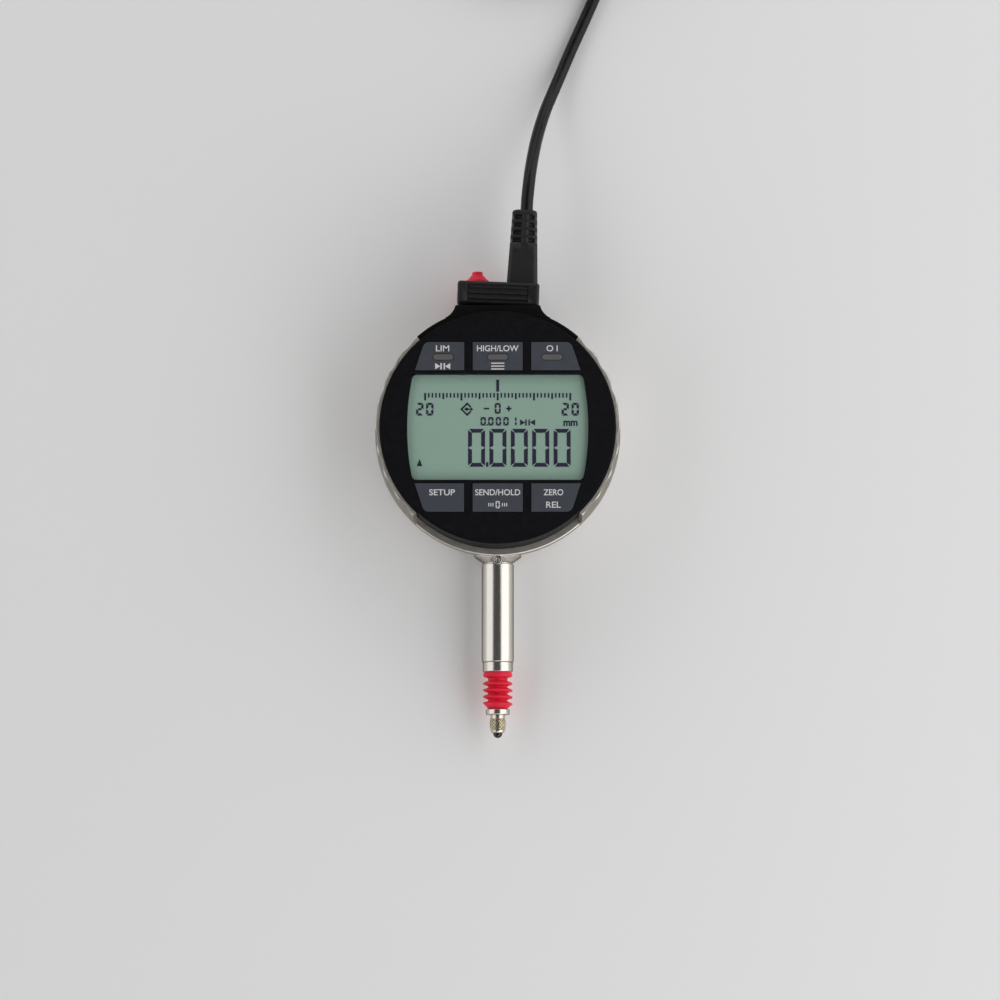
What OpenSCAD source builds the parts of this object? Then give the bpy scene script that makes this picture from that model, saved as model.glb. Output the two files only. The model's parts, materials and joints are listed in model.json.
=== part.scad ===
// Digital dial indicator with an 8 mm stem, lying on its back.
// Origin: centre of the round housing on its flat back. +Z faces the display,
// +X is the right-hand side of the display, the spindle points along -Y.

/* [Housing] */
// Outside diameter of the round metal housing
housing_d = 61; // [61:0.1:62]
// Height of the front face above the flat back
face_z = 26; // [26:0.1:27]
// Height of the front rim of the metal ring below the display unit
rim_z = 13; // [13:0.05:13.1]
// Number of finger scoops in each side grip
scoop_count = 8; // [6:1:8]

/* [Display] */
// Outside diameter of the turning display unit
display_d = 57.6; // [57.4:0.1:57.7]
// Half height of the display window
window_half_h = 13.1; // [12.5:0.1:13.1]
// Half width of the display window at its middle
window_half_w = 22.3; // [21.5:0.1:22.4]
// Height of a key, measured away from the window
key_h = 7.25; // [6.5:0.05:7.4]
// Travel of a key
key_travel = 0.3; // [0.2:0.05:0.3]

/* [Stem and spindle] */
// Diameter of the clamping stem
stem_d = 8; // [7.9:0.1:8.1]
// Height of the stem axis above the flat back
stem_z = 7; // [7:0.05:7.1]
// Diameter of the spindle
spindle_d = 4; // [3.9:0.02:4]
// Travel of the spindle
spindle_travel = 3; // [2:0.1:3]
// Number of folds in the rubber bellows
bellows_folds = 5; // [4:1:6]

/* [Data cable] */
// Diameter of the data cable
cable_d = 3.1; // [2.8:0.1:3.2]

/* [Hidden] */
$fn = 96;

eps = 0.01;
housing_r = housing_d / 2;
display_r = display_d / 2;
turn_gap = 0.15;
pocket_r = display_r + turn_gap;

// Housing shell
back_round = 2.4;
draft_z = 10;
draft_in = 1.1;
back_r = housing_r - draft_in;
back_z = 0.2;
cavity_r = 25.6;
cover_r = 26.4;
cover_t = 1.8;
spigot_r = 26.7;
spigot_in_r = 23.2;
deck_z = 14.8;
deck_top_z = 16.2;
deck_hole_r = 20.5;
post_ring_r = 23;
post_angles = [60, 120, 240, 300];
base_z = 11.9;
base_screw_ring_r = 24.4;
base_screw_angles = [0, 150, 210];
// Small screws: thread, head, and the places that they share
tap_r = 0.7;
screw_head_r = 1.15;
screw_head_h = 1;
frame_ear = [8.2, 11];
sensor_post = [-17, 9];
sensor_z = 9;

// Grips: metal walls at the left and the right, reaching up beside the display
grip_top_z = face_z - 0.9;
grip_front_r = housing_r - 0.4;
grip_start = -46.5;
grip_end = 48.5;
scoop_pitch = (grip_end - grip_start) / scoop_count;
scoop_r = 7;
scoop_depth = 0.62;
scoop_low_z = rim_z - 1.5;

// Neck and top wall
top_wall_z = face_z - 1.7;
neck_half_w = 10.3;
neck_top_y = 30.5;
neck_round = 4.6;
neck_low_z = 3.4;

// Ports in the top of the neck
socket_half_w = 8.2;
socket_low_z = 8.45;
socket_high_z = 12.75;
lift_x = -5.12;
lift_z = 5.8;
lift_hole_r = 2.2;

// Battery
battery_pos = [15, 0];
battery_r = 8;
battery_t = 3.2;
cap_r = 9.1;

// Stem and mechanism, as distances along Y
stem_r = stem_d / 2;
spindle_r = spindle_d / 2;
stem_bore_r = 3;
stem_tail_r = 4.45;
collar_r = 5.85;
pin_r = 0.75;
set_screw_r = 1;
stem_inner_y = -22;
collar_y = -28.6;
collar_low_y = -30.45;
cone_low_y = -31.8;
shank_high_y = cone_low_y - 0.4;
undercut_r = stem_r - 0.35;
shank_low_y = -56.55;
ring_low_y = -58.9;
bellows_low_y = -68.2;
bellows_ring_low_y = -69.55;
point_low_y = -74.6;
ball_r = 1.15;
ball_y = -74.2;
set_screw_y = -31.4;
stop_collar_r = 3.6;
stop_collar_y = stem_inner_y + 0.02;
stop_collar_t = 2.6;
seat_y = -8;
sleeve_low_y = stop_collar_y + stop_collar_t + spindle_travel + 0.02;
frame_high_y = 18;
frame_low_z = 2.2;
transducer_y = 2;
transducer_l = 15;
transducer_r = 4.2;

// Display unit
floor_z = 16.53;
floor_top_z = 17.6;
plate_t = 1;
plate_r = display_r - 0.4;
bezel_in_r = 27.9;
board_z = 19.2;
board_top_z = 20.2;
lcd_z = 22.9;
lcd_top_z = face_z - 1.3;
retainer_r = 21.9;
retainer_low_z = 13.5;
turn_limit = 140;
tab_half_angle = 1.9;
disc_screw_ring_r = 18.8;
disc_screw_angles = [0, 120, 240];
board_head_h = 0.8;

// Keys
key_y = window_half_h + 0.75;
key_gap = 0.12;
key_mid_half_w = 6.25;
key_side_x = 8.1;
key_slant_low_x = 20.5;
key_slant_high_x = 18.1;
key_round = 1.8;
key_proud = 0.15;
light_pos = 13.4;
light_y = 17.26;
light_size = [5.03, 1.4];
switch_x = 13.4;
switch_y = 15.2;

// Data plug, pushed into the neck with a little sideways play
plug_turn = -2.2;
plug_half_w = 10.15;
plug_low_y = 31.1;
plug_high_y = 36.95;
plug_low_z = 10.6;
plug_high_z = 21.6;
relief_x = 5.8;
relief_high_y = 56;
relief_low_w = 7.75;
relief_high_w = 6.15;
relief_z = 16.1;
relief_t = 6.4;
notch_count = 4;
notch_h = 1.2;
notch_pitch = 1.97;
notch_bar = [-0.5, 1.05];

// Stored coil and the plug at the far end
cable_r = cable_d / 2;
coil_pos = [9, 147];
coil_columns = 5;
coil_layers = 4;
coil_mid_r = 17.5;
coil_out_r = coil_mid_r + coil_columns / 2 * cable_d;
coil_in_r = coil_mid_r - coil_columns / 2 * cable_d;
coil_h = coil_layers * cable_d;
usb_x = coil_pos[0] + 11;
usb_z = coil_h + 4;
usb_low_y = 137.5;
// Points that the cable follows from the strain relief down to the coil
cable_route = [
    [7.2, 55.5, 16.1], [7.4, 59, 16.05], [7.7, 62, 15.75], [8.1, 65.5, 14.9],
    [8.7, 69.5, 13.4], [9.6, 74.5, 10.9], [10.8, 79.5, 8.1], [12.3, 84.5, 5.5],
    [14.2, 89.5, 3.5], [16.6, 95.5, 2.2], [19.3, 102, 1.65], [22.2, 108.5, 1.55],
    [25.2, 115.5, 1.55], [28, 123, 1.55], [30.4, 131, 1.55], [32, 139, 1.55],
    [32.7, 147, 1.55]
];
// Points that the cable follows from the top of the coil into the far plug
cable_end_route = [
    [9, 129.5, 10.85], [12.5, 129.7, 11.3], [15.6, 130.5, 12.4], [18, 132, 13.9],
    [19.4, 134, 15.4], [20, 136.3, 16.4]
];

// ---------------------------------------------------------------- helpers

// Tube round the Z axis
module ring(r_out, r_in, z0, z1) {
    translate([0, 0, z0])
        difference() {
            cylinder(r = r_out, h = z1 - z0);
            translate([0, 0, -1]) cylinder(r = r_in, h = z1 - z0 + 2);
        }
}

// Puts a shape drawn round Z onto the stem axis, its height running along +Y
module on_stem() {
    translate([0, 0, stem_z]) rotate([-90, 0, 0]) children();
}

// Tube round the stem axis
module stem_ring(r_out, r_in, y0, y1) {
    on_stem() ring(r_out, r_in, y0, y1);
}

// Flat wedge between two angles, less than 180 degrees apart
module wedge(a0, a1, z0, z1) {
    mid = (a0 + a1) / 2;
    reach = 60;
    corner_a = [for (a = [a0, (a0 + mid) / 2, mid, (a1 + mid) / 2, a1]) reach * [cos(a), sin(a)]];
    translate([0, 0, z0])
        linear_extrude(z1 - z0)
            polygon(concat([[0, 0]], corner_a));
}

// Box given by its two corners
module block(low, high) {
    translate(low) cube(high - low);
}

// Box with its four upright edges rounded
module round_block(low, high, r) {
    block([low[0] + r, low[1], low[2]], [high[0] - r, high[1], high[2]]);
    block([low[0], low[1] + r, low[2]], [high[0], high[1] - r, high[2]]);
    for (x = [low[0] + r, high[0] - r], y = [low[1] + r, high[1] - r])
        translate([x, y, low[2]]) cylinder(r = r, h = high[2] - low[2]);
}

// Small cap screw standing on its head, its shank pointing up
module small_screw(x, y, z, head_h, shank_h) {
    translate([x, y, z]) {
        difference() {
            cylinder(r = screw_head_r, h = head_h);
            block([-screw_head_r, -0.15, -eps], [screw_head_r, 0.15, head_h / 2]);
        }
        translate([0, 0, head_h - eps]) cylinder(r = tap_r, h = shank_h + eps);
    }
}

function arc_points(centre, r, a0, a1, steps) =
    [for (i = [0:steps]) let (a = a0 + (a1 - a0) * i / steps) centre + r * [cos(a), sin(a)]];

// Tube swept along a list of points, with a ring at each one
function unit(v) = v / norm(v);
function path_direction(path, i) =
    unit(path[min(i + 1, len(path) - 1)] - path[max(i - 1, 0)]);
function path_ring(path, i, r, sides) =
    let (
        t = path_direction(path, i),
        side = unit(cross(t, [0, 0, 1])),
        up = cross(side, t)
    )
    [for (k = [0:sides - 1])
        let (a = (k + 0.5) * 360 / sides)
        path[i] + r * (cos(a) * side + sin(a) * up)];

module swept_tube(path, r, sides) {
    rings = len(path);
    points = [for (i = [0:rings - 1]) for (p = path_ring(path, i, r, sides)) p];
    walls = [for (i = [0:rings - 2]) for (k = [0:sides - 1])
        let (a = i * sides + k, b = i * sides + (k + 1) % sides)
        [a, a + sides, b + sides, b]];
    start_cap = [[for (k = [0:sides - 1]) k]];
    end_cap = [[for (k = [sides - 1:-1:0]) (rings - 1) * sides + k]];
    polyhedron(points, concat(start_cap, walls, end_cap), convexity = 6);
}

// ---------------------------------------------------------------- housing

// One finger scoop, deepest at the front and running out towards the back
module scoop(angle) {
    rise = grip_top_z + 1 - scoop_low_z;
    lean = housing_r - grip_front_r + scoop_depth;
    rotate([0, 0, angle])
        translate([housing_r + scoop_r + 0.1, 0, scoop_low_z])
            rotate([0, -atan(lean / (grip_top_z - scoop_low_z)), 0])
                cylinder(r = scoop_r, h = rise + 2);
}

module side_grip() {
    difference() {
        intersection() {
            rotate_extrude()
                polygon([
                    [pocket_r, rim_z - 1], [housing_r, rim_z - 1], [housing_r, rim_z],
                    [grip_front_r, grip_top_z - 0.25], [grip_front_r - 0.25, grip_top_z],
                    [pocket_r, grip_top_z]
                ]);
            wedge(grip_start, grip_end, rim_z - 1, grip_top_z + 1);
        }
        for (i = [0:scoop_count - 1])
            scoop(grip_start + (i + 0.5) * scoop_pitch);
    }
}

// Ring with a drafted outside, a step for the back cover, and the spigot that the display turns on
module housing_shell() {
    rotate_extrude()
        polygon(concat(
            [[cover_r + 0.1, back_z]],
            arc_points([back_r - back_round, back_z + back_round], back_round, -90, 0, 10),
            [
                [housing_r, draft_z], [housing_r, rim_z - 0.3], [housing_r - 0.3, rim_z],
                [spigot_r, rim_z], [spigot_r, deck_top_z], [deck_hole_r, deck_top_z],
                [deck_hole_r, deck_z], [spigot_in_r, deck_z], [spigot_in_r, rim_z],
                [cavity_r, rim_z], [cavity_r, cover_t], [cover_r + 0.1, cover_t]
            ]
        ));
}

module housing() {
    color([0.62, 0.6, 0.57])
    difference() {
        union() {
            housing_shell();
            side_grip();
            mirror([1, 0, 0]) side_grip();
            intersection() {
                ring(spigot_in_r + 0.2, retainer_r + 0.3, rim_z + 0.05, deck_z + 0.1);
                wedge(270 - stop_half_angle(), 270 + stop_half_angle(), rim_z, deck_z + 0.2);
            }
        }
        // groove for the display seal
        ring(spigot_r + 1, spigot_r - 0.8, 14, 15.2);
        // seat of the stem and its collar
        on_stem() {
            translate([0, 0, cone_low_y - 0.2]) cylinder(r = stem_tail_r + 0.05, h = 7);
            translate([0, 0, cone_low_y - 0.2])
                cylinder(r = collar_r + 0.05, h = collar_y - cone_low_y + 0.2);
        }
        // slot for the neck
        block([-9.6, 26.5, neck_low_z], [9.6, 33, rim_z + eps]);
        for (a = base_screw_angles)
            rotate([0, 0, a]) translate([base_screw_ring_r, 0, rim_z - 1]) cylinder(r = tap_r, h = 3);
    }
}

// The display unit's tab meets this block at both ends of the turn
function stop_half_angle() = 180 - turn_limit - tab_half_angle - 0.2;

module neck_outline() {
    side_x = neck_half_w + neck_round;
    reach = housing_r - 0.2 + neck_round;
    side_y = sqrt(reach * reach - side_x * side_x);
    end_angle = atan2(side_y, side_x);
    top_angle = 180 + asin((side_y - neck_top_y) / neck_round);
    fillet = arc_points([side_x, side_y], neck_round, top_angle, 180 + end_angle, 10);
    mirrored = [for (i = [len(fillet) - 1:-1:0]) [-fillet[i][0], fillet[i][1]]];
    polygon(concat(fillet, [[0, 20]], mirrored));
}

module top_housing() {
    color([0.07, 0.07, 0.075])
    difference() {
        union() {
            // wall round the top of the display unit
            intersection() {
                rotate_extrude()
                    polygon([
                        [pocket_r, rim_z], [housing_r - 0.05, rim_z], [housing_r - 0.3, top_wall_z - 0.3],
                        [housing_r - 0.6, top_wall_z], [pocket_r, top_wall_z]
                    ]);
                wedge(grip_end + 0.3, 180 - grip_end - 0.3, rim_z - 1, face_z);
            }
            // neck in front of the metal ring
            difference() {
                translate([0, 0, rim_z]) linear_extrude(top_wall_z - rim_z) neck_outline();
                translate([0, 0, rim_z - 1]) cylinder(r = pocket_r, h = face_z);
            }
            // neck outside the metal ring
            difference() {
                translate([0, 0, neck_low_z]) linear_extrude(rim_z - neck_low_z) neck_outline();
                rotate_extrude()
                    polygon([
                        [0, 0], [back_r, back_z + back_round], [housing_r, draft_z],
                        [housing_r, face_z], [0, face_z]
                    ]);
            }
            // part of the neck that fills the slot in the metal ring
            block([-9.5, 26.6, neck_low_z + 0.1], [9.5, 30.5, rim_z]);
        }
        // opening for the data socket
        block([-socket_half_w, 24, socket_low_z], [socket_half_w, 32, socket_high_z]);
        // port for the lifting cable
        translate([lift_x, 24, lift_z]) rotate([-90, 0, 0]) cylinder(r = lift_hole_r, h = 10);
    }
}

module back_cover() {
    color([0.1, 0.1, 0.11])
    difference() {
        union() {
            cylinder(r = cover_r - 0.75, h = cover_t);
            cylinder(r1 = cover_r - 0.3, r2 = cover_r, h = 0.3);
            translate([0, 0, 0.3]) cylinder(r = cover_r, h = cover_t - 0.6);
        }
        translate([battery_pos[0], battery_pos[1], -1]) cylinder(r = cap_r + 0.1, h = 4);
        for (a = post_angles)
            rotate([0, 0, a]) translate([post_ring_r, 0, -eps]) {
                cylinder(r = 1.05, h = 3);
                cylinder(r1 = 1.95, r2 = 1.05, h = 0.95);
            }
    }
}

module cover_gasket() {
    color([0.15, 0.15, 0.15]) ring(cover_r, cover_r - 0.7, cover_t - 0.3, cover_t);
}

module cover_screws() {
    color([0.7, 0.7, 0.7])
    for (a = post_angles)
        rotate([0, 0, a]) translate([post_ring_r, 0, 0.05])
            difference() {
                union() {
                    cylinder(r1 = 1.85, r2 = 1, h = 0.88);
                    translate([0, 0, 0.8]) cylinder(r = 1, h = 5);
                }
                block([-1.1, -0.22, -1], [1.1, 0.22, 0.4]);
                block([-0.22, -1.1, -1], [0.22, 1.1, 0.4]);
            }
}

module cover_posts() {
    color([0.75, 0.7, 0.5])
    for (a = post_angles)
        rotate([0, 0, a]) translate([post_ring_r, 0, 0])
            ring(2, 1, cover_t, base_z);
}

module base_plate() {
    color([0.7, 0.7, 0.72])
    difference() {
        union() {
            translate([0, 0, base_z]) cylinder(r = cavity_r - 0.1, h = rim_z - base_z);
            for (s = [-1, 1])
                translate([sensor_post[0], s * sensor_post[1], sensor_z])
                    cylinder(r = 1.5, h = base_z - sensor_z + eps);
        }
        translate([0, 0, base_z - 1]) cylinder(r = 6, h = 4);
        for (a = base_screw_angles)
            rotate([0, 0, a]) translate([base_screw_ring_r, 0, base_z - 1]) cylinder(r = tap_r, h = 4);
        for (s = [-1, 1])
            translate([s * frame_ear[0], frame_ear[1], base_z - 1]) cylinder(r = tap_r, h = 4);
        for (s = [-1, 1])
            translate([sensor_post[0], s * sensor_post[1], sensor_z - 1]) cylinder(r = tap_r, h = 6);
    }
}

module inner_screws() {
    color([0.72, 0.72, 0.72]) {
        for (a = base_screw_angles)
            rotate([0, 0, a]) small_screw(base_screw_ring_r, 0, base_z - 1, screw_head_h, 2.6);
        for (s = [-1, 1]) {
            small_screw(s * frame_ear[0], frame_ear[1], 9.2, screw_head_h, 2.4);
            small_screw(sensor_post[0], s * sensor_post[1], sensor_z - 2, screw_head_h, 3.6);
        }
    }
}

module battery_cap() {
    color([0.12, 0.12, 0.13])
    translate([battery_pos[0], battery_pos[1], 0])
        difference() {
            union() {
                cylinder(r1 = cap_r - 0.2, r2 = cap_r, h = 0.2);
                translate([0, 0, 0.2]) cylinder(r = cap_r, h = cover_t - 0.4);
                translate([0, 0, cover_t - 0.3]) cylinder(r = 7.6, h = 0.5);
            }
            round_block([-6, -0.8, -1], [6, 0.8, 0.9], 0.6);
        }
}

module battery() {
    color([0.78, 0.78, 0.8])
    translate([battery_pos[0], battery_pos[1], 2.1]) {
        cylinder(r1 = battery_r - 0.3, r2 = battery_r, h = 0.3);
        translate([0, 0, 0.3]) cylinder(r = battery_r, h = battery_t - 0.7);
        translate([0, 0, battery_t - 0.4 - eps]) cylinder(r = battery_r - 1, h = 0.4 + eps);
    }
}

module battery_holder() {
    color([0.85, 0.83, 0.78])
    translate([battery_pos[0], battery_pos[1], 0]) {
        ring(battery_r + 1.2, battery_r + 0.2, 2.2, 6.4);
        translate([0, 0, 5.4]) cylinder(r = battery_r + 0.5, h = 1);
        for (y = [-6.2, 6.2])
            translate([5.5, y, 6.3]) cylinder(r = 1.1, h = base_z - 6.3);
    }
}

module sensor_board() {
    color([0.05, 0.35, 0.16])
    difference() {
        union() {
            intersection() {
                block([-25, -13, sensor_z - 1], [-9.6, 13, sensor_z]);
                translate([0, 0, sensor_z - 2]) cylinder(r = 25, h = 3);
            }
            // processor and two connectors
            block([-20.5, -3.5, sensor_z - 2], [-13.5, 3.5, sensor_z - 1 + eps]);
            block([-14, -11.5, sensor_z - 1.8], [-10.5, -7, sensor_z - 1 + eps]);
            block([-14, 7, sensor_z - 1.8], [-10.5, 11.5, sensor_z - 1 + eps]);
        }
        for (s = [-1, 1])
            translate([sensor_post[0], s * sensor_post[1], sensor_z - 1.5]) cylinder(r = tap_r, h = 2);
    }
}

// ---------------------------------------------------------------- stem and measuring head

module stem() {
    color([0.8, 0.79, 0.76])
    difference() {
        on_stem()
            rotate_extrude()
                polygon([
                    [stem_bore_r, shank_low_y], [stem_r - 0.2, shank_low_y], [stem_r, shank_low_y + 0.2],
                    [stem_r, shank_high_y], [undercut_r, shank_high_y + 0.1],
                    [undercut_r, cone_low_y - 0.1], [undercut_r + 0.1, cone_low_y],
                    [collar_r - 0.15, collar_low_y], [collar_r, collar_low_y + 0.15],
                    [collar_r, collar_y], [stem_tail_r, collar_y],
                    [stem_tail_r, stem_inner_y], [stem_bore_r, stem_inner_y]
                ]);
        translate([0, set_screw_y, stem_z + 3.25]) cylinder(r = set_screw_r, h = 4);
    }
}

module collar_screw() {
    color([0.4, 0.4, 0.4])
    translate([0, set_screw_y, stem_z + 3.25])
        difference() {
            cylinder(r = set_screw_r, h = 1.1);
            translate([0, 0, 0.5]) cylinder(r = set_screw_r / 2, h = 1, $fn = 6);
        }
}

module lower_bush() {
    color([0.75, 0.6, 0.3]) stem_ring(stem_bore_r, spindle_r + 0.03, -55, -48);
}

module upper_bush() {
    color([0.75, 0.6, 0.3]) stem_ring(stem_bore_r, spindle_r + 0.03, -30, stem_inner_y - 0.3);
}

module stem_end_ring() {
    color([0.82, 0.81, 0.78])
    on_stem()
        rotate_extrude()
            polygon([
                [2.3, ring_low_y], [3.65, ring_low_y], [3.75, ring_low_y + 0.1],
                [3.75, shank_low_y - 0.1], [3.6, shank_low_y], [stem_bore_r - 0.02, shank_low_y],
                [stem_bore_r - 0.02, -55.1], [2.3, -55.1]
            ]);
}

// Aluminium carrier with the spring seat, the transducer bore and the guide arm
module mechanism_frame() {
    color([0.66, 0.67, 0.7])
    difference() {
        union() {
            block([-5.6, seat_y, frame_low_z], [5.6, frame_high_y, base_z]);
            block([-8.2, -23.5, 4.2], [-4.6, seat_y + 3, 9.8]);
            block([-10.4, 8, 10.2], [10.4, 14, base_z]);
            stem_ring(2.75, spindle_r + 0.1, sleeve_low_y, seat_y + 1);
        }
        on_stem() {
            translate([0, 0, seat_y + 2]) cylinder(r = transducer_r, h = 30);
            translate([0, 0, sleeve_low_y - 1]) cylinder(r = spindle_r + 0.1, h = 20);
        }
        block([-9, -22.3, stem_z - pin_r - 0.05], [-4, -15.6, stem_z + pin_r + 0.05]);
        for (s = [-1, 1])
            translate([s * frame_ear[0], frame_ear[1], 9]) cylinder(r = tap_r, h = 4);
    }
}

module transducer_sleeve() {
    color([0.6, 0.6, 0.62])
    stem_ring(transducer_r, transducer_r - 0.5, transducer_y, transducer_y + transducer_l);
}

module coil_former() {
    former_r = transducer_r - 0.5;
    color([0.9, 0.88, 0.8])
    on_stem() {
        ring(2.2, 1.7, transducer_y, transducer_y + transducer_l);
        for (y = [0, transducer_l / 2 - 0.4, transducer_l - 0.8])
            ring(former_r, 1.8, transducer_y + y, transducer_y + y + 0.8);
    }
}

module coil_windings() {
    winding_l = transducer_l / 2 - 1.2;
    color([0.72, 0.36, 0.16])
    on_stem()
        for (y = [0.8, transducer_l / 2 + 0.4])
            ring(3.4, 2.2, transducer_y + y, transducer_y + y + winding_l);
}

// Compression spring between the spindle's stop collar and the spring seat
module return_spring() {
    low_y = stop_collar_y + stop_collar_t;
    wire_r = 0.2;
    turns = 6;
    turn_steps = 16;
    pitch = (seat_y - low_y - 2 * wire_r) / turns;
    path = [for (i = [0:turns * turn_steps])
        let (a = i * 360 / turn_steps)
        [3.15 * cos(a), low_y + wire_r + pitch * i / turn_steps, stem_z + 3.15 * sin(a)]];
    color([0.75, 0.75, 0.75]) swept_spring(path, wire_r, 6);
}

// Wire whose rings are set square to the stem axis' radius
module swept_spring(path, r, sides) {
    rings = len(path);
    points = [for (i = [0:rings - 1]) for (k = [0:sides - 1])
        let (
            t = path_direction(path, i),
            out = unit([path[i][0], 0, path[i][2] - stem_z]),
            along = cross(t, out),
            a = k * 360 / sides
        )
        path[i] + r * (cos(a) * out + sin(a) * along)];
    walls = [for (i = [0:rings - 2]) for (k = [0:sides - 1])
        let (a = i * sides + k, b = i * sides + (k + 1) % sides)
        [a, b, b + sides, a + sides]];
    start_cap = [[for (k = [sides - 1:-1:0]) k]];
    end_cap = [[for (k = [0:sides - 1]) (rings - 1) * sides + k]];
    polyhedron(points, concat(start_cap, walls, end_cap), convexity = 10);
}

module bellows() {
    pitch = (ring_low_y - bellows_low_y - 0.9) / bellows_folds;
    top_y = ring_low_y - 0.4;
    folds = [for (i = [0:bellows_folds - 1])
        for (p = [[3.45, 0], [3.7, -0.22], [3.7, -0.42], [2.5, -0.95], [2.5, -1.1]])
            [p[0], top_y - i * pitch + p[1] * pitch / 1.7]];
    color([0.78, 0.06, 0.13])
    on_stem()
        rotate_extrude()
            polygon(concat(
                [[2.15, ring_low_y], [3.35, ring_low_y]],
                folds,
                [[2.4, bellows_low_y], [2.15, bellows_low_y]]
            ));
}

module spindle() {
    color([0.8, 0.8, 0.8])
    on_stem()
        difference() {
            union() {
                translate([0, 0, bellows_ring_low_y]) cylinder(r = spindle_r, h = -6 - bellows_ring_low_y);
                translate([0, 0, stop_collar_y]) cylinder(r = stop_collar_r, h = stop_collar_t);
                translate([0, 0, -6 - eps]) cylinder(r = 0.9, h = 11.5 + eps);
            }
            translate([0, 0, bellows_ring_low_y - 1]) cylinder(r = 1.25, h = 5.2);
            translate([0, 0, stop_collar_y + stop_collar_t / 2])
                rotate([0, -90, 0])
                    cylinder(r = pin_r, h = 8);
        }
}

// Pin in the stop collar that runs in the guide arm and keeps the spindle from turning
module guide_pin() {
    color([0.5, 0.5, 0.52])
    translate([0, stop_collar_y + stop_collar_t / 2, stem_z])
        rotate([0, -90, 0])
            cylinder(r = pin_r, h = 7.6);
}

module transducer_core() {
    color([0.25, 0.25, 0.27]) on_stem() translate([0, 0, 5.5]) cylinder(r = 1.4, h = 7);
}

module bellows_ring() {
    color([0.8, 0.78, 0.7])
    on_stem()
        rotate_extrude()
            polygon([
                [spindle_r, bellows_ring_low_y], [2.8, bellows_ring_low_y],
                [2.95, bellows_ring_low_y + 0.15], [2.95, bellows_low_y - 0.15],
                [2.8, bellows_low_y], [spindle_r, bellows_low_y]
            ]);
}

module contact_point() {
    taper = arc_points([0.5, point_low_y + 0.95], 1.5, -39, 0, 6);
    color([0.75, 0.68, 0.5])
    on_stem()
        difference() {
            rotate_extrude()
                polygon(concat(
                    [[0, point_low_y]],
                    taper,
                    [
                        [2, bellows_ring_low_y - 0.95], [1.93, bellows_ring_low_y - 0.9],
                        [1.93, bellows_ring_low_y], [1.25, bellows_ring_low_y],
                        [1.25, bellows_ring_low_y + 3.9], [0, bellows_ring_low_y + 3.9]
                    ]
                ));
            translate([0, 0, ball_y]) sphere(r = ball_r, $fn = 64);
        }
}

module contact_ball() {
    color([0.1, 0.1, 0.1]) on_stem() translate([0, 0, ball_y]) sphere(r = ball_r, $fn = 64);
}

// ---------------------------------------------------------------- seals and ports

module display_seal() {
    color([0.12, 0.12, 0.12]) ring(spigot_r - 0.01, spigot_r - 0.75, 14.1, 15.1);
}

module glide_washer() {
    color([0.9, 0.9, 0.88]) ring(26, 21.5, deck_top_z, floor_z - 0.03);
}

module data_socket() {
    color([0.15, 0.15, 0.16])
    difference() {
        block(
            [-socket_half_w + 0.05, 26.6, socket_low_z + 0.05],
            [socket_half_w - 0.05, 30.4, socket_high_z - 0.05]
        );
        block([-7.7, 27.5, 10.7], [7.7, 31, 12.6]);
    }
}

module lift_port_plug() {
    color([0.8, 0.07, 0.1])
    translate([lift_x, 0, lift_z]) rotate([-90, 0, 0])
        rotate_extrude()
            polygon([
                [0, 27.6], [2.15, 27.6], [2.15, neck_top_y], [3.1, neck_top_y], [3.1, 35],
                [3, 39.6], [2.8, 40.1], [1.6, 41.1], [1.35, 41.5], [1.25, 42.2], [0, 42.2]
            ]);
}

// ---------------------------------------------------------------- display unit

module bezel() {
    color([0.05, 0.05, 0.055])
    difference() {
        union() {
            rotate_extrude()
                polygon([
                    [8, floor_z], [spigot_r + 0.05, floor_z], [spigot_r + 0.05, rim_z + 0.2],
                    [display_r, rim_z + 0.2], [display_r, face_z - 0.35], [display_r - 0.3, face_z - 0.05],
                    [plate_r + 0.04, face_z - 0.05], [plate_r + 0.04, face_z - plate_t],
                    [bezel_in_r, face_z - plate_t], [bezel_in_r, floor_top_z], [8, floor_top_z]
                ]);
            for (a = disc_screw_angles)
                rotate([0, 0, a + 60]) translate([disc_screw_ring_r, 0, floor_top_z - eps])
                    cylinder(r = 2, h = board_z - floor_top_z + eps);
        }
        for (a = disc_screw_angles) {
            rotate([0, 0, a]) translate([disc_screw_ring_r, 0, floor_z - 1]) cylinder(r = tap_r, h = 1.8);
            rotate([0, 0, a + 60]) translate([disc_screw_ring_r, 0, floor_top_z])
                cylinder(r = tap_r, h = 3);
        }
    }
}

// Outline of the display window: straight top and bottom, bowed sides
module window_outline(gap) {
    bow = 1.35;
    bow_r = (window_half_h * window_half_h + bow * bow) / (2 * bow);
    intersection() {
        square([2 * window_half_w, 2 * (window_half_h - gap)], center = true);
        translate([window_half_w - gap - bow_r, 0]) circle(r = bow_r, $fn = 360);
        translate([bow_r - window_half_w + gap, 0]) circle(r = bow_r, $fn = 360);
    }
}

// Outline of a side key: straight inner edge, slanted outer edge, rounded outer corner.
// gap draws every edge in, and low moves the edge nearest the window.
module side_key_outline(gap, low) {
    slant = atan2(key_h, key_slant_high_x - key_slant_low_x);
    high = key_y + key_h - gap;
    edge_x = key_slant_low_x - gap / sin(slant) + (low - key_y) / tan(slant);
    top_x = key_slant_low_x - gap / sin(slant) + (high - key_y) / tan(slant);
    r = key_round - gap;
    centre = [top_x - r / tan(slant / 2), high - r];
    polygon(concat(
        [[key_side_x + gap, low], [edge_x, low]],
        arc_points(centre, r, slant - 90, 90, 6),
        [[key_side_x + gap, high]]
    ));
}

module mid_key_outline(gap, low) {
    polygon([
        [-key_mid_half_w + gap, low], [key_mid_half_w - gap, low],
        [key_mid_half_w - gap, key_y + key_h - gap], [-key_mid_half_w + gap, key_y + key_h - gap]
    ]);
}

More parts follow.
